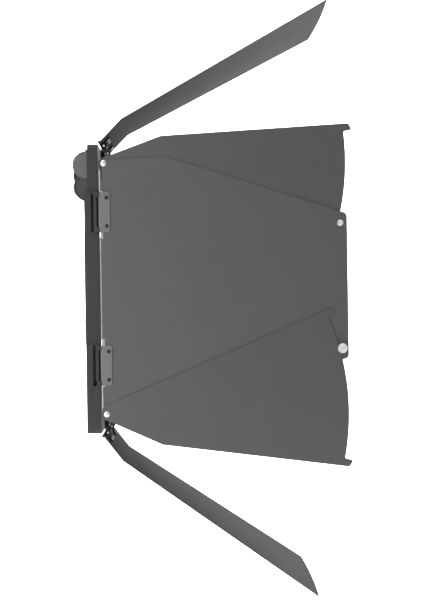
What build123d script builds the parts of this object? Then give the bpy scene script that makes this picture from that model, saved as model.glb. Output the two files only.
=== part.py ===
from build123d import *
import math
import os

os.makedirs("parts", exist_ok=True)

# LED panel light with a four-leaf barn door set.
# Millimetres. X runs along the beam, Y across the lamp, Z up.
# The origin is the mouth of the stand thread in the middle of the lamp's back.

NEAR = -1
FAR = 1
SIDES = {"near": NEAR, "far": FAR}
TOP = 1
BOTTOM = -1
ENDS = {"top": TOP, "bottom": BOTTOM}

# ---------------------------------------------------------------- driving dimensions
FRAME_SIZE = 300.0          # outside height and width of the barn door frame
FRAME_DEPTH = 14.8
FRAME_WALL = 1.2
FRAME_CORNER = 7.0
FRAME_BACK = 7.0            # from the stand face to the frame's rear edge
FRAME_WINDOW = 262.0        # clear opening through the front flange
LATCH_STEP = 3.8            # how far the rear edge is cut back beside the latches
LATCH_STEP_Z = 99.8         # height at which that cut starts
LIP_HEIGHT = 11.8
LIP_LENGTH = 240.0

FRAME_FRONT = FRAME_BACK + FRAME_DEPTH
FRAME_HALF = FRAME_SIZE / 2
FRAME_INSIDE = FRAME_HALF - FRAME_WALL
PIVOT_X = FRAME_FRONT + 5.8  # line of the wing pivots, just in front of the frame

SHEET = 1.0                 # leaf and wing sheet
SHEET_GAP = 0.15            # between a leaf and the wing that slides on it
EPS = 0.05                  # radial running clearance

# lamp head
HEAD_SIZE = 290.0
HEAD_WALL = 1.5
HEAD_CORNER = 5.0
HEAD_BACK = FRAME_BACK + 1.4
HEAD_FRONT = FRAME_FRONT - FRAME_WALL - 0.3
HEAD_INSIDE = HEAD_SIZE - 2 * HEAD_WALL
CONNECTOR_Y = -26.0         # slot for the board connector
CONNECTOR_Z = 40.0
CONNECTOR_SLOT = 0.5
CONNECTOR_WIDTH = 6.0
CONNECTOR_LENGTH = 16.0
BOARD_SIZE = 284.0
SPREADER_THICK = 1.2
PCB_THICK = 1.6
CHIP_SIZE = 3.0
CHIP_HEIGHT = 0.7
CHIP_PITCH = 32.0
CHIP_ROWS = 8
CHIP_OFFSET = 8.0
DIFFUSER_SIZE = 286.0
DIFFUSER_THICK = 2.0
DIFFUSER_SINK = 0.2         # how far the diffuser lies below the tray's rim
MIXER_INSIDE = 272.0

# control box on the back
COVER_BACK = 1.0
COVER_WIDTH = 100.0
COVER_HEIGHT = 124.0
COVER_WALL = 1.5
COVER_CORNER = 8.0
BOSS_Y = 45.5
BOSS_Z = 57.5
BOSS_RADIUS = 3.6
DRIVER_BACK = 6.2
DRIVER_WIDTH = 84.0
DRIVER_HEIGHT = 108.0
BLOCK_SIZE = 36.0
BLOCK_HOLE_PITCH = 24.0
THREAD_RADIUS = 2.55        # 1/4-20 minor radius
THREAD_LENGTH = 7.4
INSERT_RADIUS = 5.5
DIAL_Y = 28.0
DIAL_Z = -36.0
DIAL_RADIUS = 9.5
DIAL_DEPTH = 3.8
SHAFT_RADIUS = 2.0
DISPLAY_Z = 40.0
DISPLAY_WIDTH = 46.0
DISPLAY_HEIGHT = 18.0
ROCKER_Z = -38.0
ROCKER_WIDTH = 10.6
ROCKER_HEIGHT = 12.8
ROCKER_TILT = 7.0
ROCKER_AXIS_X = 3.4
SWITCH_WIDTH = 14.0
SWITCH_HEIGHT = 18.0
INLET_Y = 30.0
INLET_X = 5.4
INLET_BORE = 1.8

# side leaves
LEAF_INNER = 152.9          # inner face of the side leaf sheet, from the mid plane
LEAF_OUTER = LEAF_INNER + SHEET
LEAF_BACK = PIVOT_X - 3.5
LEAF_FRONT = PIVOT_X + 250.8
LEAF_KNEE_X = PIVOT_X + 65.7
LEAF_KNEE_Z = 135.2
LEAF_BACK_Z = 133.4
LEAF_TIP_Z = 74.5
WING_INNER = LEAF_INNER - SHEET_GAP - SHEET   # layer of the wing inside the leaf
WING_OUTER = LEAF_OUTER + SHEET_GAP           # layer of the wing outside the leaf
PIVOT_Z = 129.35
SCREW_X = PIVOT_X + 243.7
SCREW_Z = 64.7

# side leaf hinges
SIDE_AXIS_X = PIVOT_X - 4.0
SIDE_AXIS_Y = LEAF_OUTER - 1.8
SIDE_HINGE_Z = 79.2
HINGE_LENGTH = 41.2
SIDE_KNUCKLE = 1.7
SIDE_PIN = 1.05
PIN_STICKOUT = 6.0
EAR_LENGTH = 5.0
BRACKET_FRONT = PIVOT_X - 7.6
BRACKET_LENGTH = HINGE_LENGTH + 2.6
BRACKET_SLOT_X = PIVOT_X - 12.05
BRACKET_SLOT = 2.7
BRACKET_SLOT_LENGTH = HINGE_LENGTH + 0.4

# top and bottom leaf hinges
END_AXIS_X = PIVOT_X - 2.8
END_AXIS_Z = 154.6
END_HINGE_Y = 50.0
END_KNUCKLE = 3.0
END_PIN = 1.3
LEAF_OFFSET = END_KNUCKLE + 0.3               # hinge axis to the inner face of the leaf
LEAF_ANGLES = {"top": 45.9, "bottom": 52.3}   # leaf strip above the beam axis as drawn
LEAF_BEND = 17.7
STRIP_LENGTH = 32.7
STRIP_WIDTH = 190.0
FLARE_LENGTH = 246.0
FLARE_WIDTH = 286.0
FLARE_CROWN = 3.0
HEM_RADIUS = 1.4            # rolled hem along the heel of the leaf
HEM_BACK = 1.0              # how far behind the hinge axis the hem lies


def save(piece, node):
    """Label a finished piece and write it under its node name."""
    piece.part.label = node
    export_step(piece.part, f"parts/{node}.step")


def across(x):
    """Plane across the beam: local x is Y, local y is Z, extrudes along +X."""
    return Plane.YZ.offset(x)


def beside(side, inner, thickness):
    """Plane beside the lamp: local x is X, local y is Z; the layer extrudes towards -Y."""
    start = side * inner + (thickness if side == FAR else 0.0)
    return Plane(origin=(0, start, 0), x_dir=(1, 0, 0), z_dir=(0, -1, 0))


# ---------------------------------------------------------------- barn door frame
with BuildPart() as barndoor_frame:
    with BuildSketch(across(FRAME_BACK)):
        RectangleRounded(FRAME_SIZE, FRAME_SIZE, FRAME_CORNER)
    extrude(amount=FRAME_DEPTH)
    with BuildSketch(across(FRAME_BACK)):
        RectangleRounded(2 * FRAME_INSIDE, 2 * FRAME_INSIDE, FRAME_CORNER - FRAME_WALL)
    extrude(amount=FRAME_DEPTH - FRAME_WALL, mode=Mode.SUBTRACT)
    with BuildSketch(across(FRAME_BACK)):
        Rectangle(FRAME_WINDOW, FRAME_WINDOW)
    extrude(amount=FRAME_DEPTH, mode=Mode.SUBTRACT)
    with BuildSketch(across(FRAME_BACK)):
        with Locations((0, LIP_HEIGHT / 2 - FRAME_INSIDE)):
            Rectangle(LIP_LENGTH, LIP_HEIGHT)
    extrude(amount=FRAME_WALL)
    with BuildSketch(across(FRAME_BACK)):
        with Locations((0, LATCH_STEP_Z)):
            Rectangle(FRAME_SIZE, FRAME_HALF, align=(Align.CENTER, Align.MIN))
    extrude(amount=LATCH_STEP, mode=Mode.SUBTRACT)
    # slots behind those of the side hinge brackets, and notches for the hinge knuckles
    with BuildSketch(Plane.XZ):
        with GridLocations(1, 2 * SIDE_HINGE_Z, 1, 2):
            with Locations((BRACKET_SLOT_X, 0)):
                Rectangle(BRACKET_SLOT, BRACKET_SLOT_LENGTH)
    extrude(amount=FRAME_SIZE, both=True, mode=Mode.SUBTRACT)
    for side in SIDES.values():
        with BuildSketch(beside(side, FRAME_INSIDE - FRAME_WALL, 2 * FRAME_WALL)):
            with Locations((BRACKET_FRONT, SIDE_HINGE_Z), (BRACKET_FRONT, -SIDE_HINGE_Z)):
                Rectangle(
                    FRAME_FRONT - BRACKET_FRONT, BRACKET_SLOT_LENGTH, align=(Align.MIN, Align.CENTER)
                )
        extrude(amount=2 * FRAME_WALL, mode=Mode.SUBTRACT)
save(barndoor_frame, "barndoor_frame")

# ---------------------------------------------------------------- lamp head
with BuildPart() as head_housing:
    with BuildSketch(across(HEAD_BACK)):
        RectangleRounded(HEAD_SIZE, HEAD_SIZE, HEAD_CORNER)
    extrude(amount=HEAD_FRONT - HEAD_BACK)
    with BuildSketch(across(HEAD_BACK + HEAD_WALL)):
        RectangleRounded(HEAD_INSIDE, HEAD_INSIDE, HEAD_CORNER - HEAD_WALL)
    extrude(amount=HEAD_FRONT - HEAD_BACK - HEAD_WALL, mode=Mode.SUBTRACT)
    with BuildSketch(across(HEAD_BACK)):
        with Locations((CONNECTOR_Y, CONNECTOR_Z)):
            Rectangle(CONNECTOR_WIDTH + 2 * CONNECTOR_SLOT, CONNECTOR_LENGTH + 2 * CONNECTOR_SLOT)
    extrude(amount=HEAD_WALL, mode=Mode.SUBTRACT)
save(head_housing, "head_housing")

SPREADER_BACK = HEAD_BACK + HEAD_WALL
BOARD_BACK = SPREADER_BACK + SPREADER_THICK
BOARD_FRONT = BOARD_BACK + PCB_THICK
BOARD_HOLE_PITCH = 120.0
BOARD_SCREW_RADIUS = 1.5
BOARD_HEAD_RADIUS = 2.7
BOARD_HEAD_HEIGHT = 1.6

with BuildPart() as heat_spreader:
    with BuildSketch(across(SPREADER_BACK)):
        Rectangle(BOARD_SIZE, BOARD_SIZE)
        with Locations((CONNECTOR_Y, CONNECTOR_Z)):
            Rectangle(
                CONNECTOR_WIDTH + 2 * CONNECTOR_SLOT,
                CONNECTOR_LENGTH + 2 * CONNECTOR_SLOT,
                mode=Mode.SUBTRACT,
            )
        with GridLocations(BOARD_HOLE_PITCH, BOARD_HOLE_PITCH, 3, 3):
            Circle(BOARD_SCREW_RADIUS + EPS, mode=Mode.SUBTRACT)
    extrude(amount=SPREADER_THICK)
save(heat_spreader, "heat_spreader")

with BuildPart() as led_board:
    with BuildSketch(across(BOARD_BACK)):
        Rectangle(BOARD_SIZE, BOARD_SIZE)
        with GridLocations(BOARD_HOLE_PITCH, BOARD_HOLE_PITCH, 3, 3):
            Circle(BOARD_SCREW_RADIUS + EPS, mode=Mode.SUBTRACT)
    extrude(amount=PCB_THICK)
save(led_board, "led_board")

for chip_node, chip_shift in {"warm_leds": 0.0, "cool_leds": CHIP_OFFSET}.items():
    with BuildPart() as chips:
        with BuildSketch(across(BOARD_FRONT)):
            with Locations((chip_shift - CHIP_OFFSET / 2, 0)):
                with GridLocations(CHIP_PITCH, CHIP_PITCH, CHIP_ROWS, CHIP_ROWS):
                    Rectangle(CHIP_SIZE, CHIP_SIZE)
        extrude(amount=CHIP_HEIGHT)
    save(chips, chip_node)

with BuildPart() as led_board_screws:
    with BuildSketch(across(SPREADER_BACK)):
        with GridLocations(BOARD_HOLE_PITCH, BOARD_HOLE_PITCH, 3, 3):
            Circle(BOARD_SCREW_RADIUS)
    extrude(amount=BOARD_FRONT - SPREADER_BACK)
    with BuildSketch(across(BOARD_FRONT)):
        with GridLocations(BOARD_HOLE_PITCH, BOARD_HOLE_PITCH, 3, 3):
            Circle(BOARD_HEAD_RADIUS)
    extrude(amount=BOARD_HEAD_HEIGHT)
save(led_board_screws, "led_board_screws")

DIFFUSER_BACK = HEAD_FRONT - DIFFUSER_THICK - DIFFUSER_SINK
with BuildPart() as mixing_frame:
    with BuildSketch(across(BOARD_FRONT)):
        RectangleRounded(DIFFUSER_SIZE, DIFFUSER_SIZE, HEAD_CORNER)
        Rectangle(MIXER_INSIDE, MIXER_INSIDE, mode=Mode.SUBTRACT)
    extrude(amount=DIFFUSER_BACK - BOARD_FRONT)
save(mixing_frame, "mixing_frame")

with BuildPart() as diffuser:
    with BuildSketch(across(DIFFUSER_BACK)):
        RectangleRounded(DIFFUSER_SIZE, DIFFUSER_SIZE, HEAD_CORNER)
    extrude(amount=DIFFUSER_THICK)
save(diffuser, "diffuser")

# ---------------------------------------------------------------- control box
DRIVER_FRONT = DRIVER_BACK + PCB_THICK
PANEL_CLEAR = 0.2           # round the block and the display
ROCKER_SIDE_CLEAR = 0.4
ROCKER_END_CLEAR = 0.8
DIAL_CLEAR = 0.4
INLET_CLEAR = 0.6
SCREW_SHANK = 1.3
SCREW_HEAD = 2.6
SCREW_HEAD_HEIGHT = 1.3

with BuildPart() as control_box_cover:
    with BuildSketch(across(COVER_BACK)):
        RectangleRounded(COVER_WIDTH, COVER_HEIGHT, COVER_CORNER)
    extrude(amount=HEAD_BACK - COVER_BACK)
    fillet(control_box_cover.faces().sort_by(Axis.X)[0].edges(), COVER_BACK)
    with BuildSketch(across(COVER_BACK + COVER_WALL)):
        RectangleRounded(
            COVER_WIDTH - 2 * COVER_WALL, COVER_HEIGHT - 2 * COVER_WALL, COVER_CORNER - COVER_WALL
        )
    extrude(amount=HEAD_BACK - COVER_BACK - COVER_WALL, mode=Mode.SUBTRACT)
    with BuildSketch(across(COVER_BACK + COVER_WALL)):
        with GridLocations(2 * BOSS_Y, 2 * BOSS_Z, 2, 2):
            Circle(BOSS_RADIUS)
    extrude(amount=HEAD_BACK - COVER_BACK - COVER_WALL)
    with BuildSketch(across(COVER_BACK)):
        Rectangle(BLOCK_SIZE + 2 * PANEL_CLEAR, BLOCK_SIZE + 2 * PANEL_CLEAR)
        with Locations((0, DISPLAY_Z)):
            Rectangle(DISPLAY_WIDTH + 2 * PANEL_CLEAR, DISPLAY_HEIGHT + 2 * PANEL_CLEAR)
        with Locations((0, ROCKER_Z)):
            Rectangle(ROCKER_WIDTH + 2 * ROCKER_SIDE_CLEAR, ROCKER_HEIGHT + 2 * ROCKER_END_CLEAR)
        with Locations((-DIAL_Y, DIAL_Z), (DIAL_Y, DIAL_Z)):
            Circle(DIAL_RADIUS + DIAL_CLEAR)
    extrude(amount=COVER_WALL, mode=Mode.SUBTRACT)
    with BuildSketch(across(COVER_BACK)):
        with GridLocations(2 * BOSS_Y, 2 * BOSS_Z, 2, 2):
            Circle(SCREW_HEAD + EPS)
    extrude(amount=SCREW_HEAD_HEIGHT, mode=Mode.SUBTRACT)
    with BuildSketch(across(COVER_BACK)):
        with GridLocations(2 * BOSS_Y, 2 * BOSS_Z, 2, 2):
            Circle(SCREW_SHANK + EPS)
    extrude(amount=HEAD_BACK - COVER_BACK, mode=Mode.SUBTRACT)
    with BuildSketch(Plane.XY.offset(-COVER_HEIGHT / 2)):
        with Locations((INLET_X, INLET_Y)):
            Circle(INLET_BORE + INLET_CLEAR)
    extrude(amount=COVER_WALL, mode=Mode.SUBTRACT)
save(control_box_cover, "control_box_cover")

with BuildPart() as cover_screws:
    with BuildSketch(across(COVER_BACK)):
        with GridLocations(2 * BOSS_Y, 2 * BOSS_Z, 2, 2):
            Circle(SCREW_HEAD)
    extrude(amount=SCREW_HEAD_HEIGHT)
    with BuildSketch(across(COVER_BACK + SCREW_HEAD_HEIGHT)):
        with GridLocations(2 * BOSS_Y, 2 * BOSS_Z, 2, 2):
            Circle(SCREW_SHANK)
    extrude(amount=HEAD_BACK - COVER_BACK - SCREW_HEAD_HEIGHT)
save(cover_screws, "cover_screws")

INLET_WIDTH = 9.0
INLET_LENGTH = 13.0
INLET_HALF_DEPTH = 2.8
INLET_PIN = 0.6
INLET_FLOOR = 2.0
BOARD_CLEAR = 1.0           # round what passes through the driver board
INLET_TOP = -COVER_HEIGHT / 2 + COVER_WALL
with BuildPart() as driver_board:
    with BuildSketch(across(DRIVER_BACK)):
        Rectangle(DRIVER_WIDTH, DRIVER_HEIGHT)
        Rectangle(BLOCK_SIZE + 2 * BOARD_CLEAR, BLOCK_SIZE + 2 * BOARD_CLEAR, mode=Mode.SUBTRACT)
        with Locations((INLET_Y, INLET_TOP)):
            Rectangle(
                INLET_WIDTH + BOARD_CLEAR,
                2 * INLET_LENGTH + BOARD_CLEAR,
                mode=Mode.SUBTRACT,
            )
    extrude(amount=PCB_THICK)
save(driver_board, "driver_board")

COMPONENT_HEIGHT = 3.2
COIL_RADIUS = 6.0
COIL_SPOTS = ((-30, 8), (30, 8), (30, -10))
CAPACITOR_SIZE = (8, 14)
CAPACITOR_SPOTS = ((-30, -12), (34, 40))
CONVERTER_SIZE = (10, 10)
CONVERTER_SPOT = (-34, 40)
with BuildPart() as driver_components:
    with BuildSketch(across(DRIVER_BACK - COMPONENT_HEIGHT)):
        with Locations(*COIL_SPOTS):
            Circle(COIL_RADIUS)
        with Locations(*CAPACITOR_SPOTS):
            Rectangle(*CAPACITOR_SIZE)
        with Locations(CONVERTER_SPOT):
            Rectangle(*CONVERTER_SIZE)
    extrude(amount=COMPONENT_HEIGHT)
save(driver_components, "driver_components")

with BuildPart() as board_connector:
    with BuildSketch(across(DRIVER_FRONT)):
        with Locations((CONNECTOR_Y, CONNECTOR_Z)):
            Rectangle(CONNECTOR_WIDTH, CONNECTOR_LENGTH)
    extrude(amount=BOARD_BACK - DRIVER_FRONT)
save(board_connector, "board_connector")

with BuildPart() as dc_inlet:
    with BuildSketch(Plane.XY.offset(INLET_TOP)):
        with Locations((INLET_X, INLET_Y)):
            Rectangle(2 * INLET_HALF_DEPTH, INLET_WIDTH)
    extrude(amount=INLET_LENGTH)
    with BuildSketch(Plane.XY.offset(INLET_TOP)):
        with Locations((INLET_X, INLET_Y)):
            Circle(INLET_BORE)
            Circle(INLET_PIN, mode=Mode.SUBTRACT)
    extrude(amount=INLET_LENGTH - INLET_FLOOR, mode=Mode.SUBTRACT)
save(dc_inlet, "dc_inlet")

LENS_THICK = 1.2
with BuildPart() as display_window:
    with BuildSketch(across(COVER_BACK)):
        with Locations((0, DISPLAY_Z)):
            Rectangle(DISPLAY_WIDTH, DISPLAY_HEIGHT)
    extrude(amount=LENS_THICK)
save(display_window, "display_window")

MODULE_MARGIN = 2.0
MODULE_FRONT = DRIVER_BACK
with BuildPart() as display_module:
    with BuildSketch(across(COVER_BACK + COVER_WALL)):
        with Locations((0, DISPLAY_Z)):
            Rectangle(DISPLAY_WIDTH - MODULE_MARGIN, DISPLAY_HEIGHT - MODULE_MARGIN)
    extrude(amount=MODULE_FRONT - COVER_BACK - COVER_WALL)
save(display_module, "display_module")

SWITCH_BACK = 2.6
SWITCH_FLOOR = 0.8
TRUNNION_RADIUS = 0.6
TRUNNION_REACH = ROCKER_WIDTH / 2 + 0.9   # from the middle of the rocker to a trunnion's end
rocker_side = Plane(origin=(ROCKER_AXIS_X, 0, ROCKER_Z), x_dir=(1, 0, 0), z_dir=(0, -1, 0))
with BuildPart() as switch_body:
    with BuildSketch(across(SWITCH_BACK)):
        with Locations((0, ROCKER_Z)):
            Rectangle(SWITCH_WIDTH, SWITCH_HEIGHT)
    extrude(amount=DRIVER_BACK - SWITCH_BACK)
    with BuildSketch(across(SWITCH_BACK)):
        with Locations((0, ROCKER_Z)):
            Rectangle(ROCKER_WIDTH + 2 * ROCKER_SIDE_CLEAR, ROCKER_HEIGHT + 2 * ROCKER_END_CLEAR)
    extrude(amount=DRIVER_BACK - SWITCH_BACK - SWITCH_FLOOR, mode=Mode.SUBTRACT)
    with BuildSketch(rocker_side):
        Circle(TRUNNION_RADIUS + EPS)
    extrude(amount=SWITCH_WIDTH, both=True, mode=Mode.SUBTRACT)
save(switch_body, "switch_body")

ROCKER_RISE = 2.4
ROCKER_DIP = 1.6
ROCKER_SKIRT = 1.0
rocker_plane = Plane(
    origin=(ROCKER_AXIS_X, 0, ROCKER_Z),
    x_dir=(math.cos(math.radians(ROCKER_TILT)), 0, math.sin(math.radians(ROCKER_TILT))),
    z_dir=(0, -1, 0),
)
with BuildPart() as power_rocker:
    with BuildSketch(rocker_plane):
        with BuildLine():
            Polyline(
                (-ROCKER_RISE, -ROCKER_HEIGHT / 2),
                (-ROCKER_DIP, 0),
                (-ROCKER_RISE, ROCKER_HEIGHT / 2),
                (ROCKER_SKIRT, ROCKER_HEIGHT / 2),
                (ROCKER_SKIRT, -ROCKER_HEIGHT / 2),
                close=True,
            )
        make_face()
    extrude(amount=ROCKER_WIDTH / 2, both=True)
    with BuildSketch(rocker_side):
        Circle(TRUNNION_RADIUS)
    extrude(amount=TRUNNION_REACH, both=True)
save(power_rocker, "power_rocker")

ENCODER_SIZE = 11.0
ENCODER_BACK = 4.4
SHAFT_BACK = 1.2
with BuildPart() as dial_encoders:
    with BuildSketch(across(ENCODER_BACK)):
        with Locations((-DIAL_Y, DIAL_Z), (DIAL_Y, DIAL_Z)):
            Rectangle(ENCODER_SIZE, ENCODER_SIZE)
    extrude(amount=DRIVER_BACK - ENCODER_BACK)
    with BuildSketch(across(SHAFT_BACK)):
        with Locations((-DIAL_Y, DIAL_Z), (DIAL_Y, DIAL_Z)):
            Circle(SHAFT_RADIUS)
    extrude(amount=ENCODER_BACK - SHAFT_BACK)
save(dial_encoders, "dial_encoders")

DIAL_CAP = 0.8
GRIP_COUNT = 24
GRIP_RADIUS = 0.5
for dial_node, dial_y in {"brightness_dial": -DIAL_Y, "colour_dial": DIAL_Y}.items():
    with BuildPart() as dial:
        with BuildSketch(across(0)):
            with Locations((dial_y, DIAL_Z)):
                Circle(DIAL_RADIUS)
                with PolarLocations(DIAL_RADIUS, GRIP_COUNT):
                    Circle(GRIP_RADIUS, mode=Mode.SUBTRACT)
        extrude(amount=DIAL_DEPTH)
        with BuildSketch(across(DIAL_CAP)):
            with Locations((dial_y, DIAL_Z)):
                Circle(SHAFT_RADIUS + EPS)
        extrude(amount=DIAL_DEPTH - DIAL_CAP, mode=Mode.SUBTRACT)
    save(dial, dial_node)

BLOCK_SCREW_RADIUS = 2.0
BLOCK_HEAD_RADIUS = 3.8
BLOCK_HEAD_HEIGHT = 2.2
BLOCK_HEAD_SINK = 0.2
BLOCK_CORNER = 2.0
with BuildPart() as stand_block:
    with BuildSketch(across(0)):
        RectangleRounded(BLOCK_SIZE, BLOCK_SIZE, BLOCK_CORNER)
    extrude(amount=HEAD_BACK)
    with BuildSketch(across(0)):
        Circle(INSERT_RADIUS)
    extrude(amount=THREAD_LENGTH, mode=Mode.SUBTRACT)
    with BuildSketch(across(0)):
        with GridLocations(BLOCK_HOLE_PITCH, BLOCK_HOLE_PITCH, 2, 2):
            Circle(BLOCK_HEAD_RADIUS)
    extrude(amount=BLOCK_HEAD_HEIGHT, mode=Mode.SUBTRACT)
    with BuildSketch(across(0)):
        with GridLocations(BLOCK_HOLE_PITCH, BLOCK_HOLE_PITCH, 2, 2):
            Circle(BLOCK_SCREW_RADIUS)
    extrude(amount=HEAD_BACK, mode=Mode.SUBTRACT)
save(stand_block, "stand_block")

with BuildPart() as stand_block_screws:
    with BuildSketch(across(BLOCK_HEAD_SINK)):
        with GridLocations(BLOCK_HOLE_PITCH, BLOCK_HOLE_PITCH, 2, 2):
            Circle(BLOCK_HEAD_RADIUS - EPS)
    extrude(amount=BLOCK_HEAD_HEIGHT - BLOCK_HEAD_SINK)
    with BuildSketch(across(BLOCK_HEAD_HEIGHT)):
        with GridLocations(BLOCK_HOLE_PITCH, BLOCK_HOLE_PITCH, 2, 2):
            Circle(BLOCK_SCREW_RADIUS - EPS)
    extrude(amount=HEAD_BACK - BLOCK_HEAD_HEIGHT)
save(stand_block_screws, "stand_block_screws")

with BuildPart() as stand_thread_insert:
    with BuildSketch(across(0)):
        Circle(INSERT_RADIUS)
        Circle(THREAD_RADIUS, mode=Mode.SUBTRACT)
    extrude(amount=THREAD_LENGTH)
save(stand_thread_insert, "stand_thread_insert")

# ---------------------------------------------------------------- head latches
LATCH_FLAT_X = HEAD_BACK - 0.2                # inner layers stop behind the lamp head
LATCH_EDGE_X = FRAME_BACK + LATCH_STEP - 0.2  # outer layers stop at the frame's rear edge
LATCH_SKIN_Y = HEAD_SIZE / 2 + 0.3            # where the outer layers start
LATCH_Y = 136.5             # inner face of a latch
LATCH_PLATE = 3.5
LATCH_RIM = 1.2
LATCH_BODY_X = PIVOT_X - 17.3
LATCH_BODY_Z = 105.2
LATCH_BODY_RADIUS = 14.0
LATCH_BODY_DEPTH = 12.1
RIM_X = PIVOT_X - 18.2
RIM_Z = 117.6
RIM_RADIUS = 13.5
BOLT_X = PIVOT_X - 18.0
BOLT_Z = 128.4
BOLT_RADIUS = 14.2
BOLT_CLEAR = 0.4
BOLT_LIFT = 0.3
RECESS_WALL = 1.4           # raised rim left round the recess in a latch's face
RECESS_DEPTH = 1.5
BOLT_Y = LATCH_Y + LATCH_PLATE + LATCH_RIM + BOLT_LIFT
BOLT_DEPTH = 6.4
BOLT_HOLE_DEPTH = 5.4
TAB_THICK = 1.8
TAB_WIDTH = 16.0
TAB_REACH = 8.0
GUIDE_X = 2.5
GUIDE_RADIUS = 1.5
GUIDE_PITCH = 8.0


def half_round(side, x, z, radius, start, end, front=LATCH_FLAT_X, mode=Mode.ADD):
    """Disc between two distances from the mid plane, cut flat at its front."""
    with BuildSketch(beside(side, start, end - start)) as section:
        with Locations((x, z)):
            Circle(radius)
        with Locations((front, z)):
            Rectangle(
                4 * radius, 2 * radius, align=(Align.MAX, Align.CENTER), mode=Mode.INTERSECT
            )
    extrude(section.sketch, amount=end - start, mode=mode)


LATCH_BODY_OUTER = LATCH_Y + LATCH_BODY_DEPTH
LATCH_RIM_OUTER = LATCH_Y + LATCH_PLATE + LATCH_RIM
BOLT_OUTER = BOLT_Y + BOLT_DEPTH
for side_name, side in SIDES.items():
    with BuildPart() as latch_base:
        body = (side, LATCH_BODY_X, LATCH_BODY_Z, LATCH_BODY_RADIUS)
        half_round(*body, LATCH_Y, LATCH_BODY_OUTER)
        half_round(*body, LATCH_SKIN_Y, LATCH_BODY_OUTER, LATCH_EDGE_X)
        half_round(
            side,
            LATCH_BODY_X,
            LATCH_BODY_Z,
            LATCH_BODY_RADIUS - RECESS_WALL,
            LATCH_BODY_OUTER - RECESS_DEPTH,
            LATCH_BODY_OUTER,
            LATCH_EDGE_X,
            Mode.SUBTRACT,
        )
        with BuildSketch(beside(side, LATCH_Y, LATCH_BODY_DEPTH)):
            with Locations((BOLT_X, BOLT_Z)):
                Circle(BOLT_RADIUS + BOLT_CLEAR)
        extrude(amount=LATCH_BODY_DEPTH, mode=Mode.SUBTRACT)
        half_round(side, BOLT_X, BOLT_Z, RIM_RADIUS, LATCH_Y, LATCH_Y + LATCH_PLATE)
        half_round(side, RIM_X, RIM_Z, RIM_RADIUS, LATCH_Y, LATCH_RIM_OUTER)
        half_round(
            side,
            RIM_X,
            RIM_Z,
            RIM_RADIUS - RECESS_WALL,
            LATCH_RIM_OUTER - RECESS_DEPTH,
            LATCH_RIM_OUTER,
            LATCH_FLAT_X,
            Mode.SUBTRACT,
        )
        with BuildSketch(beside(side, FRAME_INSIDE - TAB_THICK, TAB_THICK)):
            with Locations((FRAME_BACK, LATCH_BODY_Z)):
                Rectangle(TAB_REACH + TAB_THICK, TAB_WIDTH, align=(Align.MIN, Align.CENTER))
        extrude(amount=TAB_THICK)
        with BuildSketch(beside(side, LATCH_Y, LATCH_PLATE + LATCH_RIM)):
            with Locations((GUIDE_X, BOLT_Z)):
                with GridLocations(GUIDE_PITCH, GUIDE_PITCH, 1, 2):
                    Circle(GUIDE_RADIUS)
        extrude(amount=LATCH_PLATE + LATCH_RIM, mode=Mode.SUBTRACT)
    save(latch_base, f"{side_name}_latch_base")

    with BuildPart() as latch_bolt:
        pad = (side, BOLT_X, BOLT_Z, BOLT_RADIUS)
        half_round(*pad, BOLT_Y, BOLT_OUTER)
        half_round(*pad, LATCH_SKIN_Y, BOLT_OUTER, LATCH_EDGE_X)
        with BuildSketch(beside(side, BOLT_Y, BOLT_HOLE_DEPTH)):
            with Locations((GUIDE_X, BOLT_Z)):
                with GridLocations(GUIDE_PITCH, GUIDE_PITCH, 1, 2):
                    Circle(GUIDE_RADIUS + EPS)
        extrude(amount=BOLT_HOLE_DEPTH, mode=Mode.SUBTRACT)
    save(latch_bolt, f"{side_name}_latch_bolt")

GUIDE_LENGTH = BOLT_Y - LATCH_Y + BOLT_HOLE_DEPTH - BOLT_LIFT
with BuildPart() as latch_guide_pins:
    for side in SIDES.values():
        with BuildSketch(beside(side, LATCH_Y, GUIDE_LENGTH)):
            with Locations((GUIDE_X, BOLT_Z)):
                with GridLocations(GUIDE_PITCH, GUIDE_PITCH, 1, 2):
                    Circle(GUIDE_RADIUS)
        extrude(amount=GUIDE_LENGTH)
save(latch_guide_pins, "latch_guide_pins")

# ---------------------------------------------------------------- side leaf hinges
BRACKET_BACK = FRAME_BACK + 0.4
BRACKET_THICK = 1.4
EAR_LIFT = 0.2
EAR_THICK = 2.0
EAR_ROOT = 1.0              # overlap of an ear with its bracket
PLATE_BACK = SIDE_AXIS_X - 0.3
PLATE_CORNER = 2.0
PLATE_FRONT = PIVOT_X + 6.2
PLATE_THICK = 1.2
PLATE_SCREW_X = PIVOT_X + 2.8
PLATE_SCREW_PITCH = 29.2
PLATE_SCREW_RADIUS = 1.2
PLATE_HEAD_RADIUS = 2.0
PLATE_HEAD_HEIGHT = 0.7
KNUCKLE_GAP = 0.3
LEAF_KNUCKLE_LENGTH = HINGE_LENGTH - 2 * EAR_LENGTH - 2 * KNUCKLE_GAP


def upright_tube(x, y, z, length, radius):
    """Solid round, standing, centred on z."""
    with BuildSketch(Plane.XY.offset(z - length / 2)) as section:
        with Locations((x, y)):
            Circle(radius)
    extrude(section.sketch, amount=length)


def upright_bore(x, y, z, length, radius):
    """Round hole, standing, centred on z."""
    with BuildSketch(Plane.XY.offset(z - length / 2)) as section:
        with Locations((x, y)):
            Circle(radius)
    extrude(section.sketch, amount=length, mode=Mode.SUBTRACT)


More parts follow.
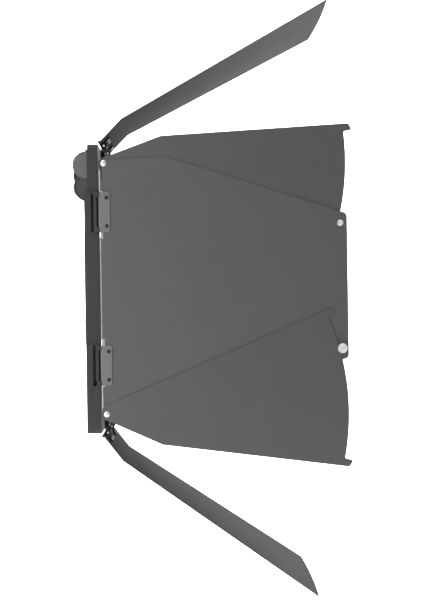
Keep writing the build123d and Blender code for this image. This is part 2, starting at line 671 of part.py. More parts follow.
with BuildPart() as side_hinge_brackets:
    for side in SIDES.values():
        for end in ENDS.values():
            hinge_z = end * SIDE_HINGE_Z
            with BuildSketch(beside(side, FRAME_HALF, BRACKET_THICK)):
                with Locations((BRACKET_BACK, hinge_z)):
                    Rectangle(
                        BRACKET_FRONT - BRACKET_BACK,
                        BRACKET_LENGTH,
                        align=(Align.MIN, Align.CENTER),
                    )
                with Locations((BRACKET_SLOT_X, hinge_z)):
                    Rectangle(BRACKET_SLOT, BRACKET_SLOT_LENGTH, mode=Mode.SUBTRACT)
            extrude(amount=BRACKET_THICK)
            for ear in (TOP, BOTTOM):
                ear_z = hinge_z + ear * (HINGE_LENGTH - EAR_LENGTH) / 2
                with BuildSketch(beside(side, FRAME_HALF + EAR_LIFT, EAR_THICK)):
                    with Locations((BRACKET_FRONT - EAR_ROOT, ear_z)):
                        Rectangle(
                            SIDE_AXIS_X - BRACKET_FRONT + EAR_ROOT,
                            EAR_LENGTH,
                            align=(Align.MIN, Align.CENTER),
                        )
                extrude(amount=EAR_THICK)
                upright_tube(SIDE_AXIS_X, side * SIDE_AXIS_Y, ear_z, EAR_LENGTH, SIDE_KNUCKLE)
            upright_bore(SIDE_AXIS_X, side * SIDE_AXIS_Y, hinge_z, HINGE_LENGTH, SIDE_PIN + EPS)
save(side_hinge_brackets, "side_hinge_brackets")

with BuildPart() as side_hinge_pins:
    for side in SIDES.values():
        for end in ENDS.values():
            pin_z = end * (SIDE_HINGE_Z - PIN_STICKOUT / 2)
            pin_length = HINGE_LENGTH + PIN_STICKOUT
            upright_tube(SIDE_AXIS_X, side * SIDE_AXIS_Y, pin_z, pin_length, SIDE_PIN)
save(side_hinge_pins, "side_hinge_pins")

for side_name, side in SIDES.items():
    with BuildPart() as hinge_plates:
        for end in ENDS.values():
            hinge_z = end * SIDE_HINGE_Z
            with BuildSketch(beside(side, LEAF_OUTER, PLATE_THICK)) as plate_outline:
                with Locations((PLATE_BACK, hinge_z)):
                    Rectangle(
                        PLATE_FRONT - PLATE_BACK, HINGE_LENGTH, align=(Align.MIN, Align.CENTER)
                    )
                fillet(plate_outline.vertices().group_by(Axis.X)[-1], PLATE_CORNER)
                with Locations((PLATE_SCREW_X, hinge_z)):
                    with GridLocations(PLATE_SCREW_PITCH, PLATE_SCREW_PITCH, 1, 2):
                        Circle(PLATE_SCREW_RADIUS + EPS, mode=Mode.SUBTRACT)
            extrude(amount=PLATE_THICK)
            # web from the plate down to its knuckle, through the notch in the leaf
            with BuildSketch(beside(side, SIDE_AXIS_Y, LEAF_OUTER - SIDE_AXIS_Y)):
                with Locations((PLATE_BACK, hinge_z)):
                    Rectangle(
                        SIDE_AXIS_X + SIDE_KNUCKLE - PLATE_BACK,
                        LEAF_KNUCKLE_LENGTH,
                        align=(Align.MIN, Align.CENTER),
                    )
            extrude(amount=LEAF_OUTER - SIDE_AXIS_Y)
            axis_y = side * SIDE_AXIS_Y
            upright_tube(SIDE_AXIS_X, axis_y, hinge_z, LEAF_KNUCKLE_LENGTH, SIDE_KNUCKLE)
            upright_bore(SIDE_AXIS_X, axis_y, hinge_z, LEAF_KNUCKLE_LENGTH, SIDE_PIN + EPS)
    save(hinge_plates, f"{side_name}_hinge_plates")

    with BuildPart() as plate_screws:
        for end in ENDS.values():
            with BuildSketch(beside(side, LEAF_OUTER + PLATE_THICK, PLATE_HEAD_HEIGHT)):
                with Locations((PLATE_SCREW_X, end * SIDE_HINGE_Z)):
                    with GridLocations(PLATE_SCREW_PITCH, PLATE_SCREW_PITCH, 1, 2):
                        Circle(PLATE_HEAD_RADIUS)
            extrude(amount=PLATE_HEAD_HEIGHT)
            with BuildSketch(beside(side, LEAF_INNER, SHEET + PLATE_THICK)):
                with Locations((PLATE_SCREW_X, end * SIDE_HINGE_Z)):
                    with GridLocations(PLATE_SCREW_PITCH, PLATE_SCREW_PITCH, 1, 2):
                        Circle(PLATE_SCREW_RADIUS)
            extrude(amount=SHEET + PLATE_THICK)
    save(plate_screws, f"{side_name}_hinge_plate_screws")

# ---------------------------------------------------------------- side leaves
RIVET_SHANK = 2.5
RIVET_HEAD = 3.0
RIVET_OUTER_HEIGHT = 1.2
RIVET_INNER_HEIGHT = 0.4
THUMB_SHANK = 1.9
NOTCH_CLEAR = 1.0
LEAF_CORNER = 5.0
HEEL_CORNER = 2.3
NOTCH_FRONT = PIVOT_X - 1.2
NOTCH_BOTTOM = SIDE_HINGE_Z - HINGE_LENGTH / 2 - PIN_STICKOUT - NOTCH_CLEAR
NOTCH_TOP = SIDE_HINGE_Z + HINGE_LENGTH / 2 + NOTCH_CLEAR

for side_name, side in SIDES.items():
    with BuildPart() as side_leaf:
        with BuildSketch(beside(side, LEAF_INNER, SHEET)) as leaf_outline:
            with BuildLine():
                Polyline(
                    (LEAF_BACK, -LEAF_BACK_Z),
                    (LEAF_BACK, LEAF_BACK_Z),
                    (LEAF_KNEE_X, LEAF_KNEE_Z),
                    (LEAF_FRONT, LEAF_TIP_Z),
                    (LEAF_FRONT, -LEAF_TIP_Z),
                    (LEAF_KNEE_X, -LEAF_KNEE_Z),
                    close=True,
                )
            make_face()
            fillet(leaf_outline.vertices().group_by(Axis.X)[-1], LEAF_CORNER)
            fillet(leaf_outline.vertices().group_by(Axis.X)[0], HEEL_CORNER)
            for end in ENDS.values():
                with Locations((NOTCH_FRONT, end * (NOTCH_TOP + NOTCH_BOTTOM) / 2)):
                    Rectangle(
                        LEAF_CORNER,
                        NOTCH_TOP - NOTCH_BOTTOM,
                        align=(Align.MAX, Align.CENTER),
                        mode=Mode.SUBTRACT,
                    )
                with Locations((PIVOT_X, end * PIVOT_Z)):
                    Circle(RIVET_SHANK, mode=Mode.SUBTRACT)
                with Locations((SCREW_X, end * SCREW_Z)):
                    Circle(THUMB_SHANK + EPS, mode=Mode.SUBTRACT)
                with Locations((PLATE_SCREW_X, end * SIDE_HINGE_Z)):
                    with GridLocations(PLATE_SCREW_PITCH, PLATE_SCREW_PITCH, 1, 2):
                        Circle(PLATE_SCREW_RADIUS, mode=Mode.SUBTRACT)
        extrude(amount=SHEET)
    save(side_leaf, f"{side_name}_leaf")

# ---------------------------------------------------------------- wings
# A wing is drawn in polar form about its pivot. Angles start at its outer notch
# and grow outwards; the top wings lie inside their leaf and the bottom ones outside.
NOTCH_ANGLES = {"top": 6.33, "bottom": 10.8}   # outer notch from the beam axis as drawn
ARC_RADIUS = 250.0
INNER_NOTCH = -33.6
EDGE_OFFSET = 8.8
PIVOT_ROUND = 5.75
KINK = (65.8, 18.65)
OUTER_CORNER = (256.6, 2.25)
OUTER_HOOK = (259.0, 0.62)
OUTER_NECK = (250.2, 0.5)
INNER_HOOK = (258.6, -34.1)
INNER_END = (257.5, -35.3)
HOOK_ROUND = 1.6
CORNER_ROUND = 3.4
HEEL_BACK = 195.0           # polar angle at which the wing's heel meets its round back
EDGE_ANGLE = INNER_END[1] + math.degrees(math.asin(EDGE_OFFSET / INNER_END[0]))
TANGENT_ANGLE = KINK[1] + math.degrees(math.acos(PIVOT_ROUND / KINK[0]))
LAYERS = {"top": WING_INNER, "bottom": WING_OUTER}


def wing_point(end_name, radius, angle):
    """Point of a wing in the plane of its leaf."""
    turned = math.radians(angle + NOTCH_ANGLES[end_name])
    end = ENDS[end_name]
    return (
        PIVOT_X + radius * math.cos(turned),
        end * (PIVOT_Z + radius * math.sin(turned)),
    )


def close_to(vertex, points):
    """True where a sketch corner lies on one of the given outline points."""
    return any(math.dist((vertex.X, vertex.Z), point) < SHEET for point in points)


for side_name, side in SIDES.items():
    for end_name in ENDS:
        hooks = [
            wing_point(end_name, *corner)
            for corner in (OUTER_HOOK, OUTER_NECK, INNER_HOOK, INNER_END)
        ]
        with BuildPart() as wing:
            with BuildSketch(beside(side, LAYERS[end_name], SHEET)) as wing_outline:
                with BuildLine():
                    Polyline(
                        wing_point(end_name, ARC_RADIUS, INNER_NOTCH),
                        wing_point(end_name, *INNER_HOOK),
                        wing_point(end_name, *INNER_END),
                        wing_point(end_name, EDGE_OFFSET, EDGE_ANGLE - 90),
                        wing_point(end_name, PIVOT_ROUND, HEEL_BACK),
                    )
                    ThreePointArc(
                        wing_point(end_name, PIVOT_ROUND, HEEL_BACK),
                        wing_point(end_name, PIVOT_ROUND, (HEEL_BACK + TANGENT_ANGLE) / 2),
                        wing_point(end_name, PIVOT_ROUND, TANGENT_ANGLE),
                    )
                    Polyline(
                        wing_point(end_name, PIVOT_ROUND, TANGENT_ANGLE),
                        wing_point(end_name, *KINK),
                        wing_point(end_name, *OUTER_CORNER),
                        wing_point(end_name, *OUTER_HOOK),
                        wing_point(end_name, *OUTER_NECK),
                    )
                    ThreePointArc(
                        wing_point(end_name, *OUTER_NECK),
                        wing_point(end_name, ARC_RADIUS, INNER_NOTCH / 2),
                        wing_point(end_name, ARC_RADIUS, INNER_NOTCH),
                    )
                make_face()
                with Locations(wing_point(end_name, 0, 0)):
                    Circle(RIVET_SHANK + EPS, mode=Mode.SUBTRACT)
            extrude(amount=SHEET)
            hook_edges = wing.edges().filter_by(Axis.Y).filter_by(
                lambda edge: close_to(edge.center(), hooks)
            )
            fillet(hook_edges, HOOK_ROUND)
            corner_edges = wing.edges().filter_by(Axis.Y).filter_by(
                lambda edge: close_to(edge.center(), [wing_point(end_name, *OUTER_CORNER)])
            )
            fillet(corner_edges, CORNER_ROUND)
        save(wing, f"{side_name}_{end_name}_wing")

# ---------------------------------------------------------------- rivets and thumb screws
NUT_RADIUS = 3.2
NUT_HEIGHT = 1.3
FLANGE_RADIUS = 5.3
FLANGE_HEIGHT = 1.0
KNOB_HEIGHT = 4.8
KNOB_SLOT = 1.2
KNOB_SLOT_DEPTH = 1.6
SCREW_TAIL = 0.6


def bar(side, x, z, start, end, radius):
    """Round along Y between two distances from the mid plane."""
    with BuildSketch(beside(side, start, end - start)) as section:
        with Locations((x, z)):
            Circle(radius)
    extrude(section.sketch, amount=end - start)


for side_name, side in SIDES.items():
    with BuildPart() as pivot_rivets:
        # top rivet: wing on the inside of the leaf
        inner_face = WING_INNER - SHEET_GAP
        bar(side, PIVOT_X, PIVOT_Z, inner_face - RIVET_INNER_HEIGHT, inner_face, RIVET_HEAD)
        bar(side, PIVOT_X, PIVOT_Z, inner_face, LEAF_OUTER, RIVET_SHANK)
        bar(side, PIVOT_X, PIVOT_Z, LEAF_OUTER, LEAF_OUTER + RIVET_OUTER_HEIGHT, RIVET_HEAD)
        # bottom rivet: wing on the outside of the leaf
        outer_face = WING_OUTER + SHEET + SHEET_GAP
        bar(side, PIVOT_X, -PIVOT_Z, LEAF_INNER - RIVET_INNER_HEIGHT, LEAF_INNER, RIVET_HEAD)
        bar(side, PIVOT_X, -PIVOT_Z, LEAF_INNER, outer_face, RIVET_SHANK)
        bar(side, PIVOT_X, -PIVOT_Z, outer_face, outer_face + RIVET_OUTER_HEIGHT, RIVET_HEAD)
    save(pivot_rivets, f"{side_name}_pivot_rivets")

    with BuildPart() as clinch_nuts:
        with BuildSketch(beside(side, LEAF_OUTER, NUT_HEIGHT)):
            with Locations((SCREW_X, SCREW_Z)):
                Circle(NUT_RADIUS)
                Circle(THUMB_SHANK + EPS, mode=Mode.SUBTRACT)
        extrude(amount=NUT_HEIGHT)
        with BuildSketch(beside(side, LEAF_INNER - NUT_HEIGHT, NUT_HEIGHT)):
            with Locations((SCREW_X, -SCREW_Z)):
                Circle(NUT_RADIUS)
                Circle(THUMB_SHANK + EPS, mode=Mode.SUBTRACT)
        extrude(amount=NUT_HEIGHT)
    save(clinch_nuts, f"{side_name}_clinch_nuts")

    with BuildPart() as top_thumbscrew:
        seat = WING_INNER - SHEET_GAP
        knob_start = seat - FLANGE_HEIGHT - KNOB_HEIGHT
        bar(side, SCREW_X, SCREW_Z, knob_start, seat, FLANGE_RADIUS)
        bar(side, SCREW_X, SCREW_Z, seat, LEAF_OUTER + NUT_HEIGHT + SCREW_TAIL, THUMB_SHANK)
        with BuildSketch(beside(side, knob_start, KNOB_SLOT_DEPTH)):
            with Locations((SCREW_X, SCREW_Z)):
                Rectangle(2 * FLANGE_RADIUS, KNOB_SLOT)
        extrude(amount=KNOB_SLOT_DEPTH, mode=Mode.SUBTRACT)
    save(top_thumbscrew, f"{side_name}_top_thumbscrew")

    with BuildPart() as bottom_thumbscrew:
        seat = WING_OUTER + SHEET + SHEET_GAP
        knob_end = seat + FLANGE_HEIGHT + KNOB_HEIGHT
        bar(side, SCREW_X, -SCREW_Z, seat, knob_end, FLANGE_RADIUS)
        bar(side, SCREW_X, -SCREW_Z, LEAF_INNER - NUT_HEIGHT - SCREW_TAIL, seat, THUMB_SHANK)
        with BuildSketch(beside(side, knob_end - KNOB_SLOT_DEPTH, KNOB_SLOT_DEPTH)):
            with Locations((SCREW_X, -SCREW_Z)):
                Rectangle(2 * FLANGE_RADIUS, KNOB_SLOT)
        extrude(amount=KNOB_SLOT_DEPTH, mode=Mode.SUBTRACT)
    save(bottom_thumbscrew, f"{side_name}_bottom_thumbscrew")

# ---------------------------------------------------------------- top and bottom hinges
END_BRACKET_FOOT = 138.0
END_BRACKET_HEAD = FRAME_HALF + 0.6
END_BRACKET_THICK = 1.6
END_BLOCK_HEAD = 148.5      # height of the bracket's thick foot
END_BLOCK_THICK = 4.0
END_EAR_LENGTH = 6.0
END_SCREW_Z = 143.6
END_SCREW_PITCH = 26.0
END_SCREW_RADIUS = 1.2
END_HEAD_RADIUS = 2.2
END_HEAD_HEIGHT = 1.1
END_PIN_STICKOUT = 2.0
END_PLATE_START = 5.0       # along the leaf from the hinge axis
END_PLATE_LENGTH = 10.8
END_PLATE_THICK = 2.1
END_WEB_LENGTH = 6.0
END_SCREW_REACH = 7.9
END_SCREW_SPOTS = [(END_SCREW_REACH, -END_HINGE_Y), (END_SCREW_REACH, END_HINGE_Y)]
END_KNUCKLE_LENGTH = HINGE_LENGTH - 2 * END_EAR_LENGTH - 2 * KNUCKLE_GAP


def cross_round(x, z, y, length, radius, mode=Mode.ADD):
    """Round along Y, centred on y."""
    with BuildSketch(Plane(origin=(0, y, 0), x_dir=(1, 0, 0), z_dir=(0, -1, 0))) as section:
        with Locations((x, z)):
            Circle(radius)
    extrude(section.sketch, amount=length / 2, both=True, mode=mode)


with BuildPart() as end_hinge_brackets:
    for end in ENDS.values():
        for hinge_y in (-END_HINGE_Y, END_HINGE_Y):
            axis_z = end * END_AXIS_Z
            with BuildSketch(across(FRAME_FRONT)):
                with Locations((hinge_y, end * (END_BRACKET_FOOT + END_BRACKET_HEAD) / 2)):
                    Rectangle(HINGE_LENGTH, END_BRACKET_HEAD - END_BRACKET_FOOT)
                with Locations((hinge_y, end * (END_BRACKET_HEAD + END_AXIS_Z) / 2)):
                    with GridLocations(HINGE_LENGTH - END_EAR_LENGTH, 1, 2, 1):
                        Rectangle(END_EAR_LENGTH, END_AXIS_Z - END_BRACKET_HEAD)
                with Locations((hinge_y, end * END_SCREW_Z)):
                    with GridLocations(END_SCREW_PITCH, 1, 2, 1):
                        Circle(END_SCREW_RADIUS + EPS, mode=Mode.SUBTRACT)
            extrude(amount=END_BRACKET_THICK)
            with BuildSketch(across(FRAME_FRONT)):
                with Locations((hinge_y, end * (END_BRACKET_FOOT + END_BLOCK_HEAD) / 2)):
                    Rectangle(HINGE_LENGTH, END_BLOCK_HEAD - END_BRACKET_FOOT)
                with Locations((hinge_y, end * END_SCREW_Z)):
                    with GridLocations(END_SCREW_PITCH, 1, 2, 1):
                        Circle(END_SCREW_RADIUS + EPS, mode=Mode.SUBTRACT)
            extrude(amount=END_BLOCK_THICK)
            ear_shift = (HINGE_LENGTH - END_EAR_LENGTH) / 2
            for ear_y in (hinge_y - ear_shift, hinge_y + ear_shift):
                cross_round(END_AXIS_X, axis_z, ear_y, END_EAR_LENGTH, END_KNUCKLE)
            cross_round(
                END_AXIS_X, axis_z, hinge_y, HINGE_LENGTH, END_PIN + EPS, mode=Mode.SUBTRACT
            )
save(end_hinge_brackets, "end_hinge_brackets")

with BuildPart() as bracket_screws:
    for end in ENDS.values():
        for hinge_y in (-END_HINGE_Y, END_HINGE_Y):
            with BuildSketch(across(FRAME_FRONT + END_BLOCK_THICK)):
                with Locations((hinge_y, end * END_SCREW_Z)):
                    with GridLocations(END_SCREW_PITCH, 1, 2, 1):
                        Circle(END_HEAD_RADIUS)
            extrude(amount=END_HEAD_HEIGHT)
            with BuildSketch(across(FRAME_FRONT)):
                with Locations((hinge_y, end * END_SCREW_Z)):
                    with GridLocations(END_SCREW_PITCH, 1, 2, 1):
                        Circle(END_SCREW_RADIUS)
            extrude(amount=END_BLOCK_THICK)
save(bracket_screws, "bracket_screws")

with BuildPart() as end_hinge_pins:
    for end in ENDS.values():
        for hinge_y in (-END_HINGE_Y, END_HINGE_Y):
            cross_round(
                END_AXIS_X,
                end * END_AXIS_Z,
                hinge_y,
                HINGE_LENGTH + 2 * END_PIN_STICKOUT,
                END_PIN,
            )
save(end_hinge_pins, "end_hinge_pins")


# ---------------------------------------------------------------- top and bottom leaves
def leaf_axes(end_name, angle):
    """Directions along a leaf and out of its outer face."""
    turned = math.radians(angle)
    end = ENDS[end_name]
    along = (math.cos(turned), 0, end * math.sin(turned))
    outward = (-math.sin(turned), 0, end * math.cos(turned))
    return Vector(*along), Vector(*outward)


for end_name, end in ENDS.items():
    strip_angle = LEAF_ANGLES[end_name]
    along, outward = leaf_axes(end_name, strip_angle)
    flare_along, flare_outward = leaf_axes(end_name, strip_angle - LEAF_BEND)
    axis = Vector(END_AXIS_X, 0, end * END_AXIS_Z)
    heel = axis + outward * LEAF_OFFSET - along
    bend = axis + outward * LEAF_OFFSET + along * STRIP_LENGTH
    tip = bend + flare_along * (FLARE_LENGTH + FLARE_CROWN)
    mitre = (outward + flare_outward).normalized() * (
        SHEET / math.cos(math.radians(LEAF_BEND / 2))
    )
    outline = [heel, bend, tip, tip + flare_outward * SHEET, bend + mitre, heel + outward * SHEET]
    flare_plane = Plane(origin=bend, x_dir=flare_along, z_dir=flare_outward)
    strip_plane = Plane(origin=axis + outward * LEAF_OFFSET, x_dir=along, z_dir=outward)

    with BuildPart() as end_leaf:
        with BuildSketch(Plane(origin=(0, 0, 0), x_dir=(1, 0, 0), z_dir=(0, -1, 0))):
            with BuildLine():
                Polyline(*[(point.X, point.Z) for point in outline], close=True)
            make_face()
        extrude(amount=FLARE_WIDTH, both=True)
        hem = axis + outward * (LEAF_OFFSET + HEM_RADIUS) - along * HEM_BACK
        cross_round(hem.X, hem.Z, 0, STRIP_WIDTH, HEM_RADIUS)
        with BuildSketch(flare_plane):
            with BuildLine():
                Polyline(
                    (FLARE_LENGTH, -FLARE_WIDTH / 2),
                    (0, -STRIP_WIDTH / 2),
                    (-2 * STRIP_LENGTH, -STRIP_WIDTH / 2),
                    (-2 * STRIP_LENGTH, STRIP_WIDTH / 2),
                    (0, STRIP_WIDTH / 2),
                    (FLARE_LENGTH, FLARE_WIDTH / 2),
                )
                ThreePointArc(
                    (FLARE_LENGTH, FLARE_WIDTH / 2),
                    (FLARE_LENGTH + FLARE_CROWN, 0),
                    (FLARE_LENGTH, -FLARE_WIDTH / 2),
                )
            make_face()
        extrude(amount=STRIP_LENGTH, both=True, mode=Mode.INTERSECT)
        with BuildSketch(strip_plane):
            with Locations(*END_SCREW_SPOTS):
                with GridLocations(1, END_SCREW_PITCH, 1, 2):
                    Circle(END_SCREW_RADIUS)
        extrude(amount=SHEET, mode=Mode.SUBTRACT)
    save(end_leaf, f"{end_name}_leaf")

    with BuildPart() as end_plates:
        for hinge_y in (-END_HINGE_Y, END_HINGE_Y):
            cross_round(END_AXIS_X, end * END_AXIS_Z, hinge_y, END_KNUCKLE_LENGTH, END_KNUCKLE)
            with BuildSketch(strip_plane.offset(-PLATE_THICK)):
                with Locations((0, hinge_y)):
                    Rectangle(
                        END_WEB_LENGTH, END_KNUCKLE_LENGTH, align=(Align.MIN, Align.CENTER)
                    )
            extrude(amount=PLATE_THICK)
            with BuildSketch(strip_plane.offset(-END_PLATE_THICK)):
                with Locations((END_PLATE_START, hinge_y)):
                    Rectangle(
                        END_PLATE_LENGTH - END_PLATE_START,
                        HINGE_LENGTH,
                        align=(Align.MIN, Align.CENTER),
                    )
                with Locations((END_SCREW_REACH, hinge_y)):
                    with GridLocations(1, END_SCREW_PITCH, 1, 2):
                        Circle(END_SCREW_RADIUS + EPS, mode=Mode.SUBTRACT)
            extrude(amount=END_PLATE_THICK)
            cross_round(
                END_AXIS_X,
                end * END_AXIS_Z,
                hinge_y,
                END_KNUCKLE_LENGTH,
                END_PIN + EPS,
                mode=Mode.SUBTRACT,
            )
    save(end_plates, f"{end_name}_hinge_plates")

    with BuildPart() as end_plate_screws:
        with BuildSketch(strip_plane.offset(-END_PLATE_THICK - PLATE_HEAD_HEIGHT)):
            with Locations(*END_SCREW_SPOTS):
                with GridLocations(1, END_SCREW_PITCH, 1, 2):
                    Circle(PLATE_HEAD_RADIUS)
        extrude(amount=PLATE_HEAD_HEIGHT)
        with BuildSketch(strip_plane.offset(-END_PLATE_THICK)):
            with Locations(*END_SCREW_SPOTS):
                with GridLocations(1, END_SCREW_PITCH, 1, 2):
                    Circle(END_SCREW_RADIUS)
        extrude(amount=END_PLATE_THICK + SHEET)
    save(end_plate_screws, f"{end_name}_hinge_plate_screws")
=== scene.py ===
import math

import bmesh
import bpy
from mathutils import Matrix, Vector


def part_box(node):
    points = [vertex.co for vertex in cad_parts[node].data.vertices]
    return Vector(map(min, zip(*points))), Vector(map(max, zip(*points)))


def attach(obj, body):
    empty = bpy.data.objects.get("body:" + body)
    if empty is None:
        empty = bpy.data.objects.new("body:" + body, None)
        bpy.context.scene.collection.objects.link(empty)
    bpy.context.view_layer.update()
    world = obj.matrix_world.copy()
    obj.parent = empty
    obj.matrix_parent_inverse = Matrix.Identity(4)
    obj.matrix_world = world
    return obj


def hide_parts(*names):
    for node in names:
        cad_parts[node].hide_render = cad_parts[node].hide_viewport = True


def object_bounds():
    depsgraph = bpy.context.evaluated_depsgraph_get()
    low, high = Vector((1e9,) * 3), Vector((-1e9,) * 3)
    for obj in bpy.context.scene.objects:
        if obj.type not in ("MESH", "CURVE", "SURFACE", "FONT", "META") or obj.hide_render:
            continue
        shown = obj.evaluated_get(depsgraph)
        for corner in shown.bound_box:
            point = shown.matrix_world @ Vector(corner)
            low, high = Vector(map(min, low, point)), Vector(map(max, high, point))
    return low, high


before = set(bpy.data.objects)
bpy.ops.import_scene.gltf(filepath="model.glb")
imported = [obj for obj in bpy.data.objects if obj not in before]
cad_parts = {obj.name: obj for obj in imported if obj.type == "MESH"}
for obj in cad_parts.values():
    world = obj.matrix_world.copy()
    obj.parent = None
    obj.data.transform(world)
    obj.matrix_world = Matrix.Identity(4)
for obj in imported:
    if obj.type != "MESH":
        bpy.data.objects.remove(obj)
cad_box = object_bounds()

# ======================================================================= the view
# The lamp is seen square on to its side from about two metres, with a long lens, standing a
# little off upright. A pale sweep runs under and behind it, and the light is soft.
MM = 0.001
side_leaf_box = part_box("near_leaf")
eye_distance = 2.0
aim_right = math.radians(0.826)
aim_down = math.radians(0.045)
lean = math.radians(0.85)
lens_length = 107.4
heel_to_pivot = 3.5 * MM
eye_ahead = 83.5 * MM
eye_height = -11.7 * MM

camera_data = bpy.data.cameras.new("side_camera")
camera_data.lens = lens_length
camera_data.sensor_width = 36.0
camera = bpy.data.objects.new("side_camera", camera_data)
bpy.context.scene.collection.objects.link(camera)
bpy.context.scene.camera = camera
forward = Vector((math.sin(aim_right), math.cos(aim_right), -math.sin(aim_down))).normalized()
right = forward.cross(Vector((0, 0, 1))).normalized()
up = right.cross(forward)
leaned_up = up * math.cos(lean) + right * math.sin(lean)
leaned_right = right * math.cos(lean) - up * math.sin(lean)
turn = Matrix((leaned_right, leaned_up, -forward)).transposed().to_4x4()
pivot_x = side_leaf_box[0].x + heel_to_pivot
eye = Vector((pivot_x + eye_ahead, -eye_distance, eye_height))
camera.matrix_world = Matrix.Translation(eye) @ turn


def linear(hex_colour):
    """Turn an sRGB hex colour into the linear colour that shaders take."""
    parts = [int(hex_colour[i:i + 2], 16) / 255 for i in (1, 3, 5)]
    return (*[c / 12.92 if c <= 0.04045 else ((c + 0.055) / 1.055) ** 2.4 for c in parts], 1.0)


def soft_box(name, place, target, size, power):
    """An area light that looks at a point and stays out of the picture itself."""
    data = bpy.data.lights.new(name, "AREA")
    data.shape = "RECTANGLE"
    data.size, data.size_y = size
    data.energy = power
    light = bpy.data.objects.new(name, data)
    light.matrix_world = (
        Matrix.Translation(place)
        @ (Vector(target) - Vector(place)).to_track_quat("-Z", "Y").to_matrix().to_4x4()
    )
    light.visible_camera = False
    bpy.context.scene.collection.objects.link(light)


soft_box("hinge_side_light", (-0.55, -1.0, 0.05), (0.05, -0.15, 0.0), (0.35, 1.0), 12.0)
soft_box("top_light", (0.1, -0.2, 1.5), (0.1, 0, 0), (1.6, 1.4), 26.0)
soft_box("low_light", (0.1, -0.2, -0.55), (0.1, 0, 0), (1.2, 1.0), 5.0)
soft_box("camera_side_card", (0.1, -2.9, 0.0), (0.1, 0, 0), (1.7, 1.7), 7.6)
soft_box("front_light", (1.6, -0.4, 0.4), (0.1, 0, 0), (0.9, 0.9), 4.0)
soft_box("back_light", (-1.5, 0.5, 0.6), (0.0, 0, 0), (0.9, 0.9), 8.0)
soft_box("sweep_light", (0.1, 1.1, 0.3), (0.1, 2.2, 0.1), (3.0, 2.4), 110.0)

world = bpy.data.worlds.new("pale_room")
world.use_nodes = True
room = world.node_tree.nodes["Background"]
room.inputs["Color"].default_value = linear("#FFFFFF")
room.inputs["Strength"].default_value = 0.5
bpy.context.scene.world = world
bpy.context.scene.view_settings.view_transform = "Standard"

sweep_floor = cad_box[0].z - 0.28
sweep_back = 2.2
sweep_bend = 0.9
sweep_half = 6.0
sweep_mesh = bpy.data.meshes.new("pale_sweep")
bend_steps = 16
section = [(-4.0, sweep_floor), (sweep_back - sweep_bend, sweep_floor)]
for step in range(1, bend_steps + 1):
    angle = math.radians(90) * step / bend_steps
    section.append((
        sweep_back - sweep_bend + sweep_bend * math.sin(angle),
        sweep_floor + sweep_bend * (1 - math.cos(angle)),
    ))
section.append((sweep_back, 4.0))
sweep_mesh.from_pydata(
    [(x, y, z) for y, z in section for x in (-sweep_half, sweep_half)],
    [],
    [(2 * i, 2 * i + 1, 2 * i + 3, 2 * i + 2) for i in range(len(section) - 1)],
)
sweep = bpy.data.objects.new("pale_sweep", sweep_mesh)
bpy.context.scene.collection.objects.link(sweep)
for face in sweep_mesh.polygons:
    face.use_smooth = True


def add_node(material, kind, links=(), **settings):
    """Add a node, set its properties and sockets, and link (output, socket) pairs into it."""
    node = material.node_tree.nodes.new(kind)
    for key, value in settings.items():
        if hasattr(node, key):
            setattr(node, key, value)
    for socket, value in links:
        if isinstance(value, bpy.types.NodeSocket):
            material.node_tree.links.new(value, node.inputs[socket])
        else:
            node.inputs[socket].default_value = value
    return node


def start_material(name):
    """A material with its shader, its output and Object coordinates in millimetres."""
    material = bpy.data.materials.new(name)
    material.use_nodes = True
    shader = material.node_tree.nodes["Principled BSDF"]
    place = add_node(material, "ShaderNodeTexCoord").outputs["Object"]
    scaled = add_node(material, "ShaderNodeVectorMath", [(0, place), (1, (1000, 1000, 1000))],
                      operation="MULTIPLY").outputs[0]
    return material, shader, scaled


# The sweep is rolled paper, matt and nearly white, with a faint tooth.
paper, paper_shader, paper_mm = start_material("rolled_background_paper")
paper_tooth = add_node(paper, "ShaderNodeTexNoise", [("Vector", paper_mm), ("Scale", 0.4)])
paper_tint = add_node(paper, "ShaderNodeMix", [
    (0, paper_tooth.outputs["Fac"]),
    (6, linear("#F4F4F4")),
    (7, linear("#FAFAFA")),
], data_type="RGBA")
paper.node_tree.links.new(paper_tint.outputs[2], paper_shader.inputs["Base Color"])
paper_shader.inputs["Roughness"].default_value = 0.9
sweep_mesh.materials.append(paper)

# ============================================================ the barn door frame
# A square channel of aluminium sheet, folded and welded at rounded corners. It is powder
# coated a dark matt grey; the coat is a little finer than on the leaves.


